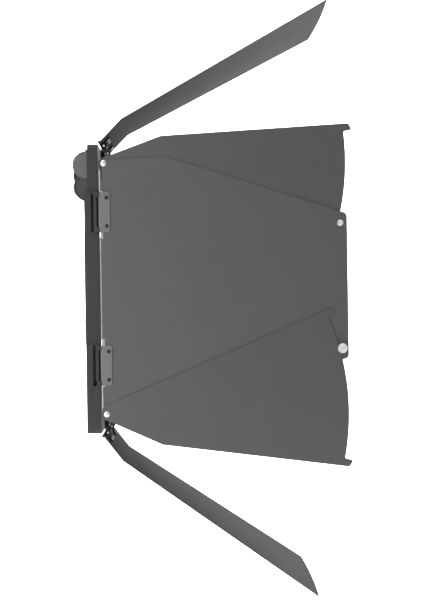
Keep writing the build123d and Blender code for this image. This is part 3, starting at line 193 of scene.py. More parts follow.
def powder_coat(name, dark, light, roughness, peel_mm, peel_depth_mm):
    """Powder coat on sheet metal: a fused film with orange peel, fine grit and faint mottling.

    The peel of a real coat is about half a millimetre, too fine to show, so it is drawn wider.
    """
    material, shader, place_mm = start_material(name)
    mottle = add_node(material, "ShaderNodeTexNoise", [
        ("Vector", place_mm), ("Scale", 1 / 38), ("Detail", 4.0), ("Roughness", 0.6),
    ])
    grit = add_node(material, "ShaderNodeTexNoise", [
        ("Vector", place_mm), ("Scale", 1 / 0.9), ("Detail", 3.0), ("Roughness", 0.7),
    ])
    blend = add_node(material, "ShaderNodeMath", [
        (0, mottle.outputs["Fac"]), (1, grit.outputs["Fac"]),
    ], operation="MULTIPLY_ADD")
    blend.inputs[2].default_value = 0.22
    colour = add_node(material, "ShaderNodeMix", [
        (0, blend.outputs[0]), (6, linear(dark)), (7, linear(light)),
    ], data_type="RGBA")
    material.node_tree.links.new(colour.outputs[2], shader.inputs["Base Color"])
    gloss = add_node(material, "ShaderNodeMapRange", [
        ("Value", grit.outputs["Fac"]), ("To Min", roughness - 0.07), ("To Max", roughness + 0.07),
    ])
    material.node_tree.links.new(gloss.outputs[0], shader.inputs["Roughness"])
    peel = add_node(material, "ShaderNodeTexNoise", [
        ("Vector", place_mm), ("Scale", 1 / peel_mm), ("Detail", 2.0),
    ])
    relief = add_node(material, "ShaderNodeMath", [
        (0, peel.outputs["Fac"]), (1, grit.outputs["Fac"]),
    ], operation="ADD")
    bump = add_node(material, "ShaderNodeBump", [
        ("Height", relief.outputs[0]), ("Distance", peel_depth_mm * MM), ("Strength", 1.0),
    ])
    material.node_tree.links.new(bump.outputs[0], shader.inputs["Normal"])
    shader.inputs["IOR"].default_value = 1.5
    return material


def baked(piece):
    """The mesh that a piece's modifiers give, as plain data; the piece itself is removed."""
    if piece.name not in bpy.context.scene.collection.objects:
        bpy.context.scene.collection.objects.link(piece)
    graph = bpy.context.evaluated_depsgraph_get()
    graph.update()
    mesh = bpy.data.meshes.new_from_object(piece.evaluated_get(graph))
    bpy.data.objects.remove(piece)
    return mesh


def fit_piece(name, mesh, finishes, body, slot, *nodes):
    """Put a finished mesh in the scene, on its body, in place of the CAD nodes it details."""
    mesh.materials.clear()
    for material in finishes if isinstance(finishes, tuple) else (finishes,):
        mesh.materials.append(material)
    piece = bpy.data.objects.new(name, mesh)
    bpy.context.scene.collection.objects.link(piece)
    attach(piece, body)
    if nodes:
        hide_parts(*nodes)
    return piece


def eased_mesh(node, edge_mm, mark=None, segments=3):
    """A merged copy of a CAD node, its sharp edges rounded as a press or a deburrer leaves them.

    mark(build) may give some faces the second finish before the edges are rounded.
    """
    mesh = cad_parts[node].data.copy()
    build = bmesh.new()
    build.from_mesh(mesh)
    bmesh.ops.remove_doubles(build, verts=build.verts, dist=0.002 * MM)
    bmesh.ops.dissolve_limit(
        build, angle_limit=math.radians(0.6), verts=build.verts, edges=build.edges
    )
    bmesh.ops.recalc_face_normals(build, faces=build.faces)
    if mark:
        mark(build)
    build.to_mesh(mesh)
    build.free()
    for face in mesh.polygons:
        face.use_smooth = True
    mesh.set_sharp_from_angle(angle=math.radians(30))
    blank = bpy.data.objects.new(node + "_blank", mesh)
    edges = blank.modifiers.new("edges", "BEVEL")
    edges.limit_method = "ANGLE"
    edges.angle_limit = math.radians(32)
    edges.width = edge_mm * MM
    edges.segments = segments
    edges.harden_normals = True
    edges.miter_outer = "MITER_ARC"
    return baked(blank)


def eased(node, edge_mm, finishes, body, slot, name, mark=None):
    """Stand an eased copy in for a CAD node."""
    return fit_piece(name, eased_mesh(node, edge_mm, mark), finishes, body, slot, node)


# The frame's coat is the matt one: it scatters light even at a low angle, so it stays dark.
frame_coat = powder_coat("dark_grey_powder_coat", "#232324", "#2E2E2F", 0.6, 1.5, 0.014)
frame_coat.node_tree.nodes["Principled BSDF"].inputs["Specular IOR Level"].default_value = 0.15
eased("barndoor_frame", 0.5, frame_coat, "lamp", "frame_coat", "frame_channel")

# =============================================================== side hinge brackets
# Stamped steel brackets, spot welded to the frame and coated with it. Each has a long slot
# and two rolled knuckles for the pin.
eased("side_hinge_brackets", 0.22, frame_coat, "lamp", "frame_coat", "side_bracket_stampings")

# ======================================================================= hinge pins
# Drawn steel pins, nickel plated, with chamfered ends. The side pins stick out of the inner
# end of each hinge; the end pins show a little at both ends.
PIN_SIDES = 20


def turned(rings, sides, radius_at=None):
    """A closed solid of revolution about Z, from (radius, height) rings in millimetres.

    radius_at(radius, angle, ring) may change a ring's radius round the turn.
    """
    build = bmesh.new()
    rows = []
    for number, (radius, height) in enumerate(rings):
        if radius == 0:
            rows.append([build.verts.new((0, 0, height * MM))])
            continue
        row = []
        for step in range(sides):
            angle = 2 * math.pi * step / sides
            local = radius_at(radius, angle, number) if radius_at else radius
            row.append(build.verts.new((
                local * math.cos(angle) * MM, local * math.sin(angle) * MM, height * MM,
            )))
        rows.append(row)
    for below, above in zip(rows, rows[1:]):
        for step in range(sides):
            after = (step + 1) % sides
            if len(below) == 1:
                build.faces.new((below[0], above[after], above[step]))
            elif len(above) == 1:
                build.faces.new((below[step], below[after], above[0]))
            else:
                build.faces.new((below[step], below[after], above[after], above[step]))
    for end in (rows[0], rows[-1]):
        if len(end) > 1 and rows[0] is not rows[-1]:
            build.faces.new(end)
    bmesh.ops.recalc_face_normals(build, faces=build.faces)
    mesh = bpy.data.meshes.new("turned")
    build.to_mesh(mesh)
    build.free()
    for face in mesh.polygons:
        face.use_smooth = True
    mesh.set_sharp_from_angle(angle=math.radians(38))
    return mesh


def facing(origin, direction):
    """Where a turned solid stands when its Z axis looks along a direction."""
    return (
        Matrix.Translation(Vector(origin))
        @ Vector(direction).to_track_quat("Z", "Y").to_matrix().to_4x4()
    )


def joined(name, meshes):
    """One mesh from several, each already in its place."""
    build = bmesh.new()
    for mesh in meshes:
        build.from_mesh(mesh)
    whole = bpy.data.meshes.new(name)
    build.to_mesh(whole)
    build.free()
    for face in whole.polygons:
        face.use_smooth = True
    whole.set_sharp_from_angle(angle=math.radians(38))
    return whole


def standing(rings, sides, origin, direction, radius_at=None):
    """A turned solid already in its place."""
    mesh = turned(rings, sides, radius_at)
    mesh.transform(facing(origin, direction))
    return mesh


def plated_steel(name, dark, light, roughness, line_mm):
    """Nickel plate on turned or drawn steel: bright, with fine tool lines and dull patches."""
    material, shader, place_mm = start_material(name)
    lines = add_node(material, "ShaderNodeTexNoise", [
        ("Vector", place_mm), ("Scale", 1 / line_mm), ("Detail", 3.0), ("Roughness", 0.65),
    ])
    patches = add_node(material, "ShaderNodeTexNoise", [
        ("Vector", place_mm), ("Scale", 1 / 2.4), ("Detail", 2.0),
    ])
    colour = add_node(material, "ShaderNodeMix", [
        (0, patches.outputs["Fac"]), (6, linear(dark)), (7, linear(light)),
    ], data_type="RGBA")
    material.node_tree.links.new(colour.outputs[2], shader.inputs["Base Color"])
    shader.inputs["Metallic"].default_value = 1.0
    gloss = add_node(material, "ShaderNodeMapRange", [
        ("Value", patches.outputs["Fac"]), ("To Min", roughness - 0.08), ("To Max", roughness + 0.1),
    ])
    material.node_tree.links.new(gloss.outputs[0], shader.inputs["Roughness"])
    bump = add_node(material, "ShaderNodeBump", [
        ("Height", lines.outputs["Fac"]), ("Distance", 0.006 * MM),
    ])
    material.node_tree.links.new(bump.outputs[0], shader.inputs["Normal"])
    return material


nickel = plated_steel("nickel_plated_steel", "#B2B3B5", "#D6D6D8", 0.3, 0.35)


def chamfered_pin(start, end, radius_mm):
    """A plain pin between two points, with a chamfer at each end."""
    start, end = Vector(start), Vector(end)
    length = (end - start).length / MM
    chamfer = radius_mm * 0.3
    rings = [
        (0, 0), (radius_mm - chamfer, 0), (radius_mm, chamfer),
        (radius_mm, length - chamfer), (radius_mm - chamfer, length), (0, length),
    ]
    return standing(rings, PIN_SIDES, start, end - start)


side_pin_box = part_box("side_hinge_pins")
side_pin_radius = (side_pin_box[1].x - side_pin_box[0].x) / 2
side_axis = Vector((side_pin_box[0].x + side_pin_radius, side_pin_box[1].y - side_pin_radius))
hinge_length = 41.2 * MM
pin_stickout = 6.0 * MM
side_pins = []
for side in (-1, 1):
    for end in (-1, 1):
        outer_z = end * side_pin_box[1].z
        inner_z = outer_z - end * (hinge_length + pin_stickout)
        side_pins.append(chamfered_pin(
            (side_axis.x, side * side_axis.y, inner_z),
            (side_axis.x, side * side_axis.y, outer_z),
            side_pin_radius / MM,
        ))
fit_piece("side_pins", joined("side_pins", side_pins), nickel, "lamp", "bright_steel",
          "side_hinge_pins")

end_pin_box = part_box("end_hinge_pins")
end_pin_radius = (end_pin_box[1].x - end_pin_box[0].x) / 2
end_axis_x = end_pin_box[0].x + end_pin_radius
end_axis_z = end_pin_box[1].z - end_pin_radius
end_pin_spare = 4 * MM
end_pin_length = hinge_length + end_pin_spare
end_hinge_y = end_pin_box[1].y - end_pin_length / 2
end_pins = []
for end in (-1, 1):
    for hinge_y in (-end_hinge_y, end_hinge_y):
        end_pins.append(chamfered_pin(
            (end_axis_x, hinge_y - end_pin_length / 2, end * end_axis_z),
            (end_axis_x, hinge_y + end_pin_length / 2, end * end_axis_z),
            end_pin_radius / MM,
        ))
fit_piece("end_pins", joined("end_pins", end_pins), nickel, "lamp", "bright_steel",
          "end_hinge_pins")

# ====================================================================== side leaves
# The side leaves and their wings are one millimetre aluminium sheet, blanked, deburred and
# powder coated a satin mid grey. Each wing slides flat against its leaf.
# The coat is satin, so it shows soft broad highlights; the wings' copy is drawn a shade darker.
leaf_coat = powder_coat("grey_powder_coat", "#2D2D2E", "#38383A", 0.47, 1.8, 0.012)
wing_coat = powder_coat("grey_powder_coat_wing", "#2A2A2B", "#353536", 0.47, 1.8, 0.012)
# The darker coat below is painted shade, laid on the cut edges of the sheets and a band beside them.
painted_edge_shade_coat = powder_coat("painted_shade_at_cut_edges", "#1B1B1C", "#262627", 0.55, 1.2, 0.008)
PAINTED_SHADE_BAND = 0.9 * MM
SHEET_FACE_AREA = 1200 * MM * MM   # the flat sides of a sheet are larger, its edges smaller
sheet_edge_mm = 0.28


def mark_painted_edge_shade(build):
    """Paint shade on the cut edges of a sheet, and on a narrow band beside them, as the second finish.

    The darker edge and band are painted shade: they stand in for the thin contact shadow where one
    sheet lies on another and round the holes. The band is 0.9 mm wide.
    """
    build.normal_update()
    large = [(face.normal.copy(), face.calc_center_median())
             for face in build.faces if face.calc_area() > SHEET_FACE_AREA]
    broad = [
        face for face in build.faces
        if any(face.normal.dot(normal) > 0.9999
               and abs((face.calc_center_median() - middle).dot(normal)) < 0.01 * MM
               for normal, middle in large)
    ]
    flat = set(broad)
    for face in build.faces:
        if face not in flat:
            face.material_index = 1
    band = bmesh.ops.inset_region(
        build, faces=broad, thickness=PAINTED_SHADE_BAND, use_even_offset=False, use_boundary=True
    )
    for face in band["faces"]:
        face.material_index = 1


for side_name in ("near", "far"):
    eased(side_name + "_leaf", sheet_edge_mm, (leaf_coat, painted_edge_shade_coat), side_name + "_leaf",
          "leaf_coat", side_name + "_leaf_sheet", mark_painted_edge_shade)
    for end_name in ("top", "bottom"):
        wing_name = f"{side_name}_{end_name}_wing"
        eased(wing_name, sheet_edge_mm, (wing_coat, painted_edge_shade_coat), wing_name, "leaf_coat",
              wing_name + "_sheet", mark_painted_edge_shade)

# =============================================================== side hinge plates
# Each leaf is screwed to two stamped plates, coated a lighter grey, whose rolled knuckles
# turn on the pins. The screws are small blackened pan heads with a cross recess.
# The plates' coat is smoother and lighter than the leaves'; oiled steel shines very little.
# The near-black of the plates' rolled barrels is painted shade for the dark gap at each hinge.
plate_coat = powder_coat("light_grey_powder_coat", "#434344", "#525253", 0.4, 1.2, 0.01)
black_steel = powder_coat("blackened_steel", "#070708", "#0F0F10", 0.62, 1.2, 0.01)
black_steel.node_tree.nodes["Principled BSDF"].inputs["Specular IOR Level"].default_value = 0.25
barrel_margin = 0.05 * MM


def paint_barrel_shade(build):
    """Paint the rolled barrels of the hinge plates black, as painted shade for the gap at the hinge."""
    sheet_outside = abs(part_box("near_leaf")[0].y)
    for face in build.faces:
        if abs(face.calc_center_median().y) < sheet_outside - barrel_margin:
            face.material_index = 1


for side_name in ("near", "far"):
    eased(side_name + "_hinge_plates", 0.22, (plate_coat, black_steel), side_name + "_leaf",
          "plate_coat", side_name + "_plate_stampings", paint_barrel_shade)


def set_tree():
    """Geometry nodes that stand a fastener on every place, each turned by its own amount."""
    tree = bpy.data.node_groups.new("set_fasteners", "GeometryNodeTree")
    sockets = (
        ("Places", "NodeSocketGeometry"), ("Fastener", "NodeSocketObject"),
        ("Facing", "NodeSocketVector"), ("Spin Seed", "NodeSocketInt"),
        ("Spin Limit", "NodeSocketFloat"), ("Finish", "NodeSocketMaterial"),
    )
    for label, kind in sockets:
        tree.interface.new_socket(label, in_out="INPUT", socket_type=kind)
    tree.interface.new_socket("Fasteners", in_out="OUTPUT", socket_type="NodeSocketGeometry")
    make = tree.nodes.new
    link = tree.links.new
    given = make("NodeGroupInput").outputs
    source = make("GeometryNodeObjectInfo")
    link(given["Fastener"], source.inputs["Object"])
    spin = make("FunctionNodeRandomValue")
    spin.data_type = "FLOAT"
    spin.inputs[2].default_value = 0.0
    link(given["Spin Limit"], spin.inputs[3])
    link(given["Spin Seed"], spin.inputs["Seed"])
    about = make("FunctionNodeAxisAngleToRotation")
    about.inputs["Axis"].default_value = (0, 0, 1)
    link(spin.outputs[1], about.inputs["Angle"])
    look = make("FunctionNodeEulerToRotation")
    link(given["Facing"], look.inputs[0])
    both = make("FunctionNodeRotateRotation")
    both.rotation_space = "LOCAL"
    link(look.outputs[0], both.inputs[0])
    link(about.outputs[0], both.inputs[1])
    stand = make("GeometryNodeInstanceOnPoints")
    link(given["Places"], stand.inputs["Points"])
    link(source.outputs["Geometry"], stand.inputs["Instance"])
    link(both.outputs[0], stand.inputs["Rotation"])
    real = make("GeometryNodeRealizeInstances")
    link(stand.outputs[0], real.inputs[0])
    finish = make("GeometryNodeSetMaterial")
    link(real.outputs[0], finish.inputs["Geometry"])
    link(given["Finish"], finish.inputs["Material"])
    link(finish.outputs[0], make("NodeGroupOutput").inputs[0])
    return tree


fastener_tree = set_tree()


def set_out(name, places, direction, fastener, material, seed, spin=6.28):
    """Stand a copy of a turned fastener at each place, its head looking along a direction."""
    spots = bpy.data.meshes.new(name)
    spots.from_pydata([tuple(place) for place in places], [], [])
    holder = bpy.data.objects.new(name + "_places", spots)
    model = bpy.data.objects.new(name + "_model", fastener)
    sockets = {
        item.name: item.identifier
        for item in fastener_tree.interface.items_tree if item.in_out == "INPUT"
    }
    modifier = holder.modifiers.new("set", "NODES")
    modifier.node_group = fastener_tree
    turn = Vector(direction).to_track_quat("Z", "Y").to_euler()
    modifier[sockets["Fastener"]] = model
    modifier[sockets["Facing"]] = tuple(turn)
    modifier[sockets["Spin Seed"]] = seed
    modifier[sockets["Spin Limit"]] = spin
    modifier[sockets["Finish"]] = material
    mesh = baked(holder)
    bpy.data.objects.remove(model)
    return mesh


def star_recess(radius, angle, ring, lobes, recess_rings, depth):
    """Narrow the rings of a recess between its lobes."""
    if ring not in recess_rings:
        return radius
    return radius * (1 - depth * (0.5 - 0.5 * math.cos(lobes * angle)))


def pan_screw(head_radius, head_height, shank_radius, shank_length, sides=32):
    """A pan-head screw with a cross recess; its head sits on Z = 0 and looks along +Z."""
    recess = head_radius * 0.55
    rings = [
        (0, -shank_length), (shank_radius, -shank_length), (shank_radius, 0),
        (head_radius * 0.97, 0), (head_radius, head_height * 0.12),
        (head_radius * 0.97, head_height * 0.5), (head_radius * 0.84, head_height * 0.84),
        (head_radius * 0.66, head_height), (recess, head_height), (recess * 0.92, head_height * 0.9),
        (recess * 0.55, head_height * 0.35), (0, head_height * 0.25),
    ]

    def crossed(radius, angle, ring):
        return star_recess(radius, angle, ring, 4, (8, 9, 10), 0.62)

    return turned(rings, sides, crossed)


blackened = plated_steel("blackened_steel_screws", "#1C1C1D", "#303031", 0.42, 0.4)
blackened.node_tree.nodes["Principled BSDF"].inputs["Metallic"].default_value = 0.8
side_screw_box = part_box("near_hinge_plate_screws")
side_screw_radius = (side_screw_box[1].x - side_screw_box[0].x) / 2
side_screw_x = side_screw_box[0].x + side_screw_radius
outer_screw_z = side_screw_box[1].z - side_screw_radius
screw_pitch = 29.2 * MM
plate_head_mm = 0.7
plate_screw = (1.15, 2.2)   # radius and length of the shank
for side_name, side in (("near", -1), ("far", 1)):
    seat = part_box(side_name + "_hinge_plate_screws")
    face_y = side * (max(abs(seat[0].y), abs(seat[1].y)) - plate_head_mm * MM)
    spots = [
        (side_screw_x, face_y, end * z)
        for end in (-1, 1) for z in (outer_screw_z, outer_screw_z - screw_pitch)
    ]
    screw = pan_screw(side_screw_radius / MM, plate_head_mm, *plate_screw)
    heads = set_out(side_name + "_plate_screws", spots, (0, side, 0), screw, blackened, 3)
    fit_piece(side_name + "_plate_screws", heads, blackened, side_name + "_leaf", "black_steel",
              side_name + "_hinge_plate_screws")

# ===================================================================== pivot rivets
# Each wing turns on a bright semi-tubular rivet: a low domed head outside and a flat rolled
# head inside, with the shank just free in the wing.


def y_layer(node):
    """Distances of a sheet's inner and outer face from the mid plane, in millimetres."""
    low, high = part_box(node)
    near, far = sorted((abs(low.y) / MM, abs(high.y) / MM))
    return near, far


rivet_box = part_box("near_pivot_rivets")
rivet_radius = (rivet_box[1].x - rivet_box[0].x) / 2 / MM
rivet_z = rivet_box[1].z - rivet_radius * MM
leaf_inner, leaf_outer = y_layer("near_leaf")
top_inner, top_outer = y_layer("near_top_wing")
bottom_outer = y_layer("near_bottom_wing")[1]
sheet_gap = leaf_inner - top_outer


def rivet(inner, outer, side, x, z):
    """A rivet through a stack of sheet, from its inner face to its outer one."""
    shank = 2.5
    inner_head, dome = 0.4, 1.2
    rings = [
        (0, inner - inner_head), (1.3, inner - inner_head), (rivet_radius - 0.3, inner - inner_head),
        (rivet_radius, inner - 0.25), (rivet_radius, inner), (shank, inner), (shank, outer),
        (rivet_radius, outer), (rivet_radius, outer + 0.3), (rivet_radius - 0.35, outer + 0.68),
        (rivet_radius - 1.2, outer + 1.0), (rivet_radius - 2.2, outer + dome - 0.05),
        (0, outer + dome),
    ]
    return standing(rings, 40, (x, 0, z), (0, side, 0))


for side_name, side in (("near", -1), ("far", 1)):
    pair = [
        rivet(top_inner - sheet_gap, leaf_outer, side, pivot_x, rivet_z),
        rivet(leaf_inner, bottom_outer + sheet_gap, side, pivot_x, -rivet_z),
    ]
    fit_piece(side_name + "_wing_rivets", joined(side_name + "_wing_rivets", pair), nickel,
              side_name + "_leaf", "bright_steel", side_name + "_pivot_rivets")

# =================================================================== thumb screws
# A knurled thumb screw presses each wing's edge against its leaf. It is turned steel, nickel
# plated, with a flange under the knurl and a coin slot, in a clinch nut pressed into the leaf.
nut_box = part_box("near_clinch_nuts")
nut_radius = (nut_box[1].x - nut_box[0].x) / 2 / MM
screw_x = (nut_box[0].x + nut_box[1].x) / 2
screw_z = nut_box[1].z - nut_radius * MM
nut_height = 1.3
nut_sides = 36
knob_sides = 96
shank_past_sheet = 1.9


def knurled(radius, angle, ring):
    """Straight knurling round the grip of a thumb screw."""
    if ring in (5, 6):
        return radius + 0.16 * math.cos(24 * angle)
    return radius


def thumb_screw(side, x, z, seat, outward, tail):
    """A thumb screw whose flange rests at seat and whose shank ends at tail."""
    reach = abs(tail - seat)
    knob = 5.8
    rings = [
        (0, -reach), (1.5, -reach), (1.9, -reach + 0.4), (1.9, 0), (5.05, 0), (5.1, 1.0),
        (5.1, knob - 0.7), (4.5, knob), (0, knob),
    ]
    shaped = turned(rings, knob_sides, knurled)
    body = bpy.data.objects.new("knob_blank", shaped)
    slot_mesh = bpy.data.meshes.new("slot")
    cut = bmesh.new()
    bmesh.ops.create_cube(cut, size=1.0)
    bmesh.ops.scale(cut, vec=(14 * MM, 1.2 * MM, 3.2 * MM), verts=cut.verts)
    bmesh.ops.translate(cut, vec=(0, 0, knob * MM), verts=cut.verts)
    cut.to_mesh(slot_mesh)
    cut.free()
    cutter = bpy.data.objects.new("slot_cutter", slot_mesh)
    bpy.context.scene.collection.objects.link(cutter)
    slotted = body.modifiers.new("slot", "BOOLEAN")
    slotted.operation = "DIFFERENCE"
    slotted.solver = "EXACT"
    slotted.object = cutter
    mesh = baked(body)
    bpy.data.objects.remove(cutter)
    direction = (0, side if outward else -side, 0)
    mesh.transform(facing((x, side * seat * MM, z), direction) @ Matrix.Rotation(0.6, 4, "Z"))
    return mesh


def clinch_nut(side, x, z, face, outward):
    """A round nut with a rolled rim, standing on a face of the leaf."""
    bore = 1.98
    rings = [
        (bore, 0), (nut_radius, 0), (nut_radius, nut_height - 0.35),
        (nut_radius - 0.35, nut_height), (bore + 0.35, nut_height), (bore, nut_height - 0.3), (bore, 0),
    ]
    build = bmesh.new()
    rows = []
    for radius, height in rings[:-1]:
        rows.append([
            build.verts.new((
                radius * math.cos(2 * math.pi * i / nut_sides) * MM,
                radius * math.sin(2 * math.pi * i / nut_sides) * MM,
                height * MM,
            )) for i in range(nut_sides)
        ])
    for below, above in zip(rows, rows[1:] + rows[:1]):
        for i in range(nut_sides):
            after = (i + 1) % nut_sides
            build.faces.new((below[i], below[after], above[after], above[i]))
    bmesh.ops.recalc_face_normals(build, faces=build.faces)
    mesh = bpy.data.meshes.new("nut")
    build.to_mesh(mesh)
    build.free()
    mesh.transform(facing((x, side * face * MM, z), (0, side if outward else -side, 0)))
    return mesh


for side_name, side in (("near", -1), ("far", 1)):
    top_seat = top_inner - sheet_gap
    bottom_seat = bottom_outer + sheet_gap
    nuts = [
        clinch_nut(side, screw_x, screw_z, leaf_outer, True),
        clinch_nut(side, screw_x, -screw_z, leaf_inner, False),
    ]
    fit_piece(side_name + "_nuts", joined(side_name + "_nuts", nuts), nickel,
              side_name + "_leaf", "bright_steel", side_name + "_clinch_nuts")
    top_screw = thumb_screw(side, screw_x, screw_z, top_seat, False,
                            leaf_outer + shank_past_sheet)
    fit_piece(side_name + "_top_knob", top_screw, nickel, side_name + "_top_thumbscrew",
              "bright_steel", side_name + "_top_thumbscrew")
    bottom_screw = thumb_screw(side, screw_x, -screw_z, bottom_seat, True,
                               leaf_inner - shank_past_sheet)
    fit_piece(side_name + "_bottom_knob", bottom_screw, nickel, side_name + "_bottom_thumbscrew",
              "bright_steel", side_name + "_bottom_thumbscrew")

# ============================================================= top and bottom leaves
# The end leaves are the same sheet, bent once across their width and flaring to the tip.
# Blackened steel hinges join them to the frame's front, with bright screws on the inside.
# The coat on these is dead matt, so it doesn't mirror the paper at a low angle.
end_coat = powder_coat("grey_powder_coat_end_leaf", "#3E3E3F", "#4B4B4C", 0.85, 1.8, 0.012)
end_coat.node_tree.nodes["Principled BSDF"].inputs["Specular IOR Level"].default_value = 0.06
eased("end_hinge_brackets", 0.25, black_steel, "lamp", "black_steel", "end_bracket_stampings")
leaf_angles = {"top": 45.9, "bottom": 52.3}
screw_along = 7.9
screw_inward = 1.2
screw_spread = 13
end_head_radius = 2.0
for end_name, end in (("top", 1), ("bottom", -1)):
    body = end_name + "_leaf"
    # The end leaves' cut edges get the same painted edge shade as the side leaves.
    eased(body, sheet_edge_mm, (end_coat, painted_edge_shade_coat), body, "leaf_coat", end_name + "_leaf_sheet",
          mark_painted_edge_shade)
    eased(end_name + "_hinge_plates", 0.22, black_steel, body, "black_steel",
          end_name + "_plate_stampings")
    tilt = math.radians(leaf_angles[end_name])
    along = Vector((math.cos(tilt), 0, end * math.sin(tilt)))
    inward = Vector((math.sin(tilt), 0, -end * math.cos(tilt)))
    axis = Vector((end_axis_x, 0, end * end_axis_z))
    seat = axis + along * screw_along * MM - inward * screw_inward * MM
    spots = [
        seat + Vector((0, hinge_y + shift * screw_spread * MM, 0))
        for hinge_y in (-end_hinge_y, end_hinge_y) for shift in (-1, 1)
    ]
    screw = pan_screw(end_head_radius, plate_head_mm, *plate_screw)
    heads = set_out(end_name + "_leaf_screws", spots, inward, screw, nickel, 5)
    fit_piece(end_name + "_leaf_screws", heads, nickel, body, "bright_steel",
              end_name + "_hinge_plate_screws")

bracket_screw_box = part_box("bracket_screws")
bracket_head_mm = 1.1
bracket_head_radius = 2.2
bracket_screw_face = bracket_screw_box[1].x - bracket_head_mm * MM
bracket_screw_z = bracket_screw_box[1].z - bracket_head_radius * MM
spots = [
    (bracket_screw_face, hinge_y + shift * screw_spread * MM, end * bracket_screw_z)
    for end in (-1, 1) for hinge_y in (-end_hinge_y, end_hinge_y) for shift in (-1, 1)
]
screw = pan_screw(bracket_head_radius, bracket_head_mm, 1.15, 1.6)
heads = set_out("frame_screws", spots, (1, 0, 0), screw, blackened, 9)
fit_piece("frame_screws", heads, blackened, "lamp", "black_steel", "bracket_screws")

# ======================================================================== lamp head
# The head is a shallow aluminium tray, black anodised. On its floor lie a mill-finish heat
# spreader and a white LED board; a white frame holds the opal diffuser just behind the window.
anodised = plated_steel("black_anodised_aluminium", "#1E1E20", "#29292B", 0.45, 0.8)
anodised.node_tree.nodes["Principled BSDF"].inputs["Metallic"].default_value = 0.6
eased("head_housing", 0.35, anodised, "lamp", "head_coat", "head_tray")
mill = plated_steel("mill_finish_aluminium", "#B4B6B8", "#C9CBCD", 0.38, 1.4)


def dress(node, material):
    """Give a CAD node its finish."""
    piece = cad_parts[node]
    piece.data.materials.clear()
    piece.data.materials.append(material)


def moulded(name, dark, light, roughness, grain_mm, grain_depth_mm):
    """Moulded plastic with a fine spark-eroded grain."""
    material, shader, place_mm = start_material(name)
    grain = add_node(material, "ShaderNodeTexVoronoi", [
        ("Vector", place_mm), ("Scale", 1 / grain_mm),
    ])
    flow = add_node(material, "ShaderNodeTexNoise", [
        ("Vector", place_mm), ("Scale", 1 / 16), ("Detail", 3.0),
    ])
    colour = add_node(material, "ShaderNodeMix", [
        (0, flow.outputs["Fac"]), (6, linear(dark)), (7, linear(light)),
    ], data_type="RGBA")
    material.node_tree.links.new(colour.outputs[2], shader.inputs["Base Color"])
    gloss = add_node(material, "ShaderNodeMapRange", [
        ("Value", flow.outputs["Fac"]), ("To Min", roughness - 0.06), ("To Max", roughness + 0.06),
    ])
    material.node_tree.links.new(gloss.outputs[0], shader.inputs["Roughness"])
    bump = add_node(material, "ShaderNodeBump", [
        ("Height", grain.outputs["Distance"]), ("Distance", grain_depth_mm * MM),
    ])
    material.node_tree.links.new(bump.outputs[0], shader.inputs["Normal"])
    shader.inputs["IOR"].default_value = 1.49
    return material


# Solder mask is a thin even gloss, polycarbonate a soft white, and the gels are wet-looking
# domes. The opal sheet lets light a little way in, so its edges look soft.
solder_mask = moulded("white_solder_mask", "#DEDEDA", "#E9E9E6", 0.4, 0.9, 0.004)
white_plastic = moulded("white_polycarbonate", "#E4E4E2", "#EFEFED", 0.45, 0.8, 0.006)
warm_gel = moulded("amber_phosphor_gel", "#D79A3E", "#E2AC55", 0.25, 0.5, 0.004)
cool_gel = moulded("yellow_phosphor_gel", "#DCCF5E", "#E7DC7C", 0.25, 0.5, 0.004)
opal = moulded("opal_acrylic", "#D2D2CE", "#DEDEDA", 0.55, 1.1, 0.02)
opal_shader = opal.node_tree.nodes["Principled BSDF"]
opal_shader.inputs["Specular IOR Level"].default_value = 0.1
opal_shader.inputs["Subsurface Weight"].default_value = 0.25
opal_shader.inputs["Subsurface Radius"].default_value = (2 * MM, 2 * MM, 2 * MM)
dress("heat_spreader", mill)
dress("led_board", solder_mask)
dress("mixing_frame", white_plastic)
eased("diffuser", 0.3, opal, "lamp", "opal_plastic", "diffuser_sheet")

# The LEDs are packages of three millimetres with a low gel dome in a square rim, set out in
# two interleaved grids, one warm and one cool.
CHIP_PITCH = 32 * MM
CHIP_ROWS = 8
CHIP_HALF = 1.5


def led_package():
    """One LED package, its back on Z = 0."""
    half, rim, tall = CHIP_HALF, 1.15, 0.62
    build = bmesh.new()
    rows = []
    for reach, height in ((half, 0), (half, tall), (rim, tall), (rim * 0.93, 0.5), (rim * 0.5, 0.66)):
        rows.append([
            build.verts.new((x * reach * MM, y * reach * MM, height * MM))
            for x, y in ((-1, -1), (1, -1), (1, 1), (-1, 1))
        ])
    for below, above in zip(rows, rows[1:]):
        for i in range(4):
            after = (i + 1) % 4
            build.faces.new((below[i], below[after], above[after], above[i]))
    build.faces.new(rows[0])
    build.faces.new(rows[-1])
    bmesh.ops.recalc_face_normals(build, faces=build.faces)
    mesh = bpy.data.meshes.new("led_package")
    build.to_mesh(mesh)
    build.free()
    return mesh


for node, gel, slot_name in (
    ("warm_leds", warm_gel, "warm_phosphor"), ("cool_leds", cool_gel, "cool_phosphor"),
):
    low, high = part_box(node)
    first_y, first_z = low.y + CHIP_HALF * MM, low.z + CHIP_HALF * MM
    spots = [
        (low.x, first_y + column * CHIP_PITCH, first_z + row * CHIP_PITCH)
        for column in range(CHIP_ROWS) for row in range(CHIP_ROWS)
    ]
    grid = set_out(node + "_grid", spots, (1, 0, 0), led_package(), gel, 1, 0.0)
    fit_piece(node + "_grid", grid, gel, "lamp", slot_name, node)

board_screw_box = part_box("led_board_screws")
board_head_mm = 1.6
board_screw_pitch = 120
board_face = board_screw_box[1].x - board_head_mm * MM
spots = [(board_face, y * board_screw_pitch * MM, z * board_screw_pitch * MM)
         for y in (-1, 0, 1) for z in (-1, 0, 1)]
screw = pan_screw(2.7, board_head_mm, 1.45, 2.8)
heads = set_out("board_screws", spots, (1, 0, 0), screw, nickel, 11)
fit_piece("board_screws", heads, nickel, "lamp", "bright_steel", "led_board_screws")

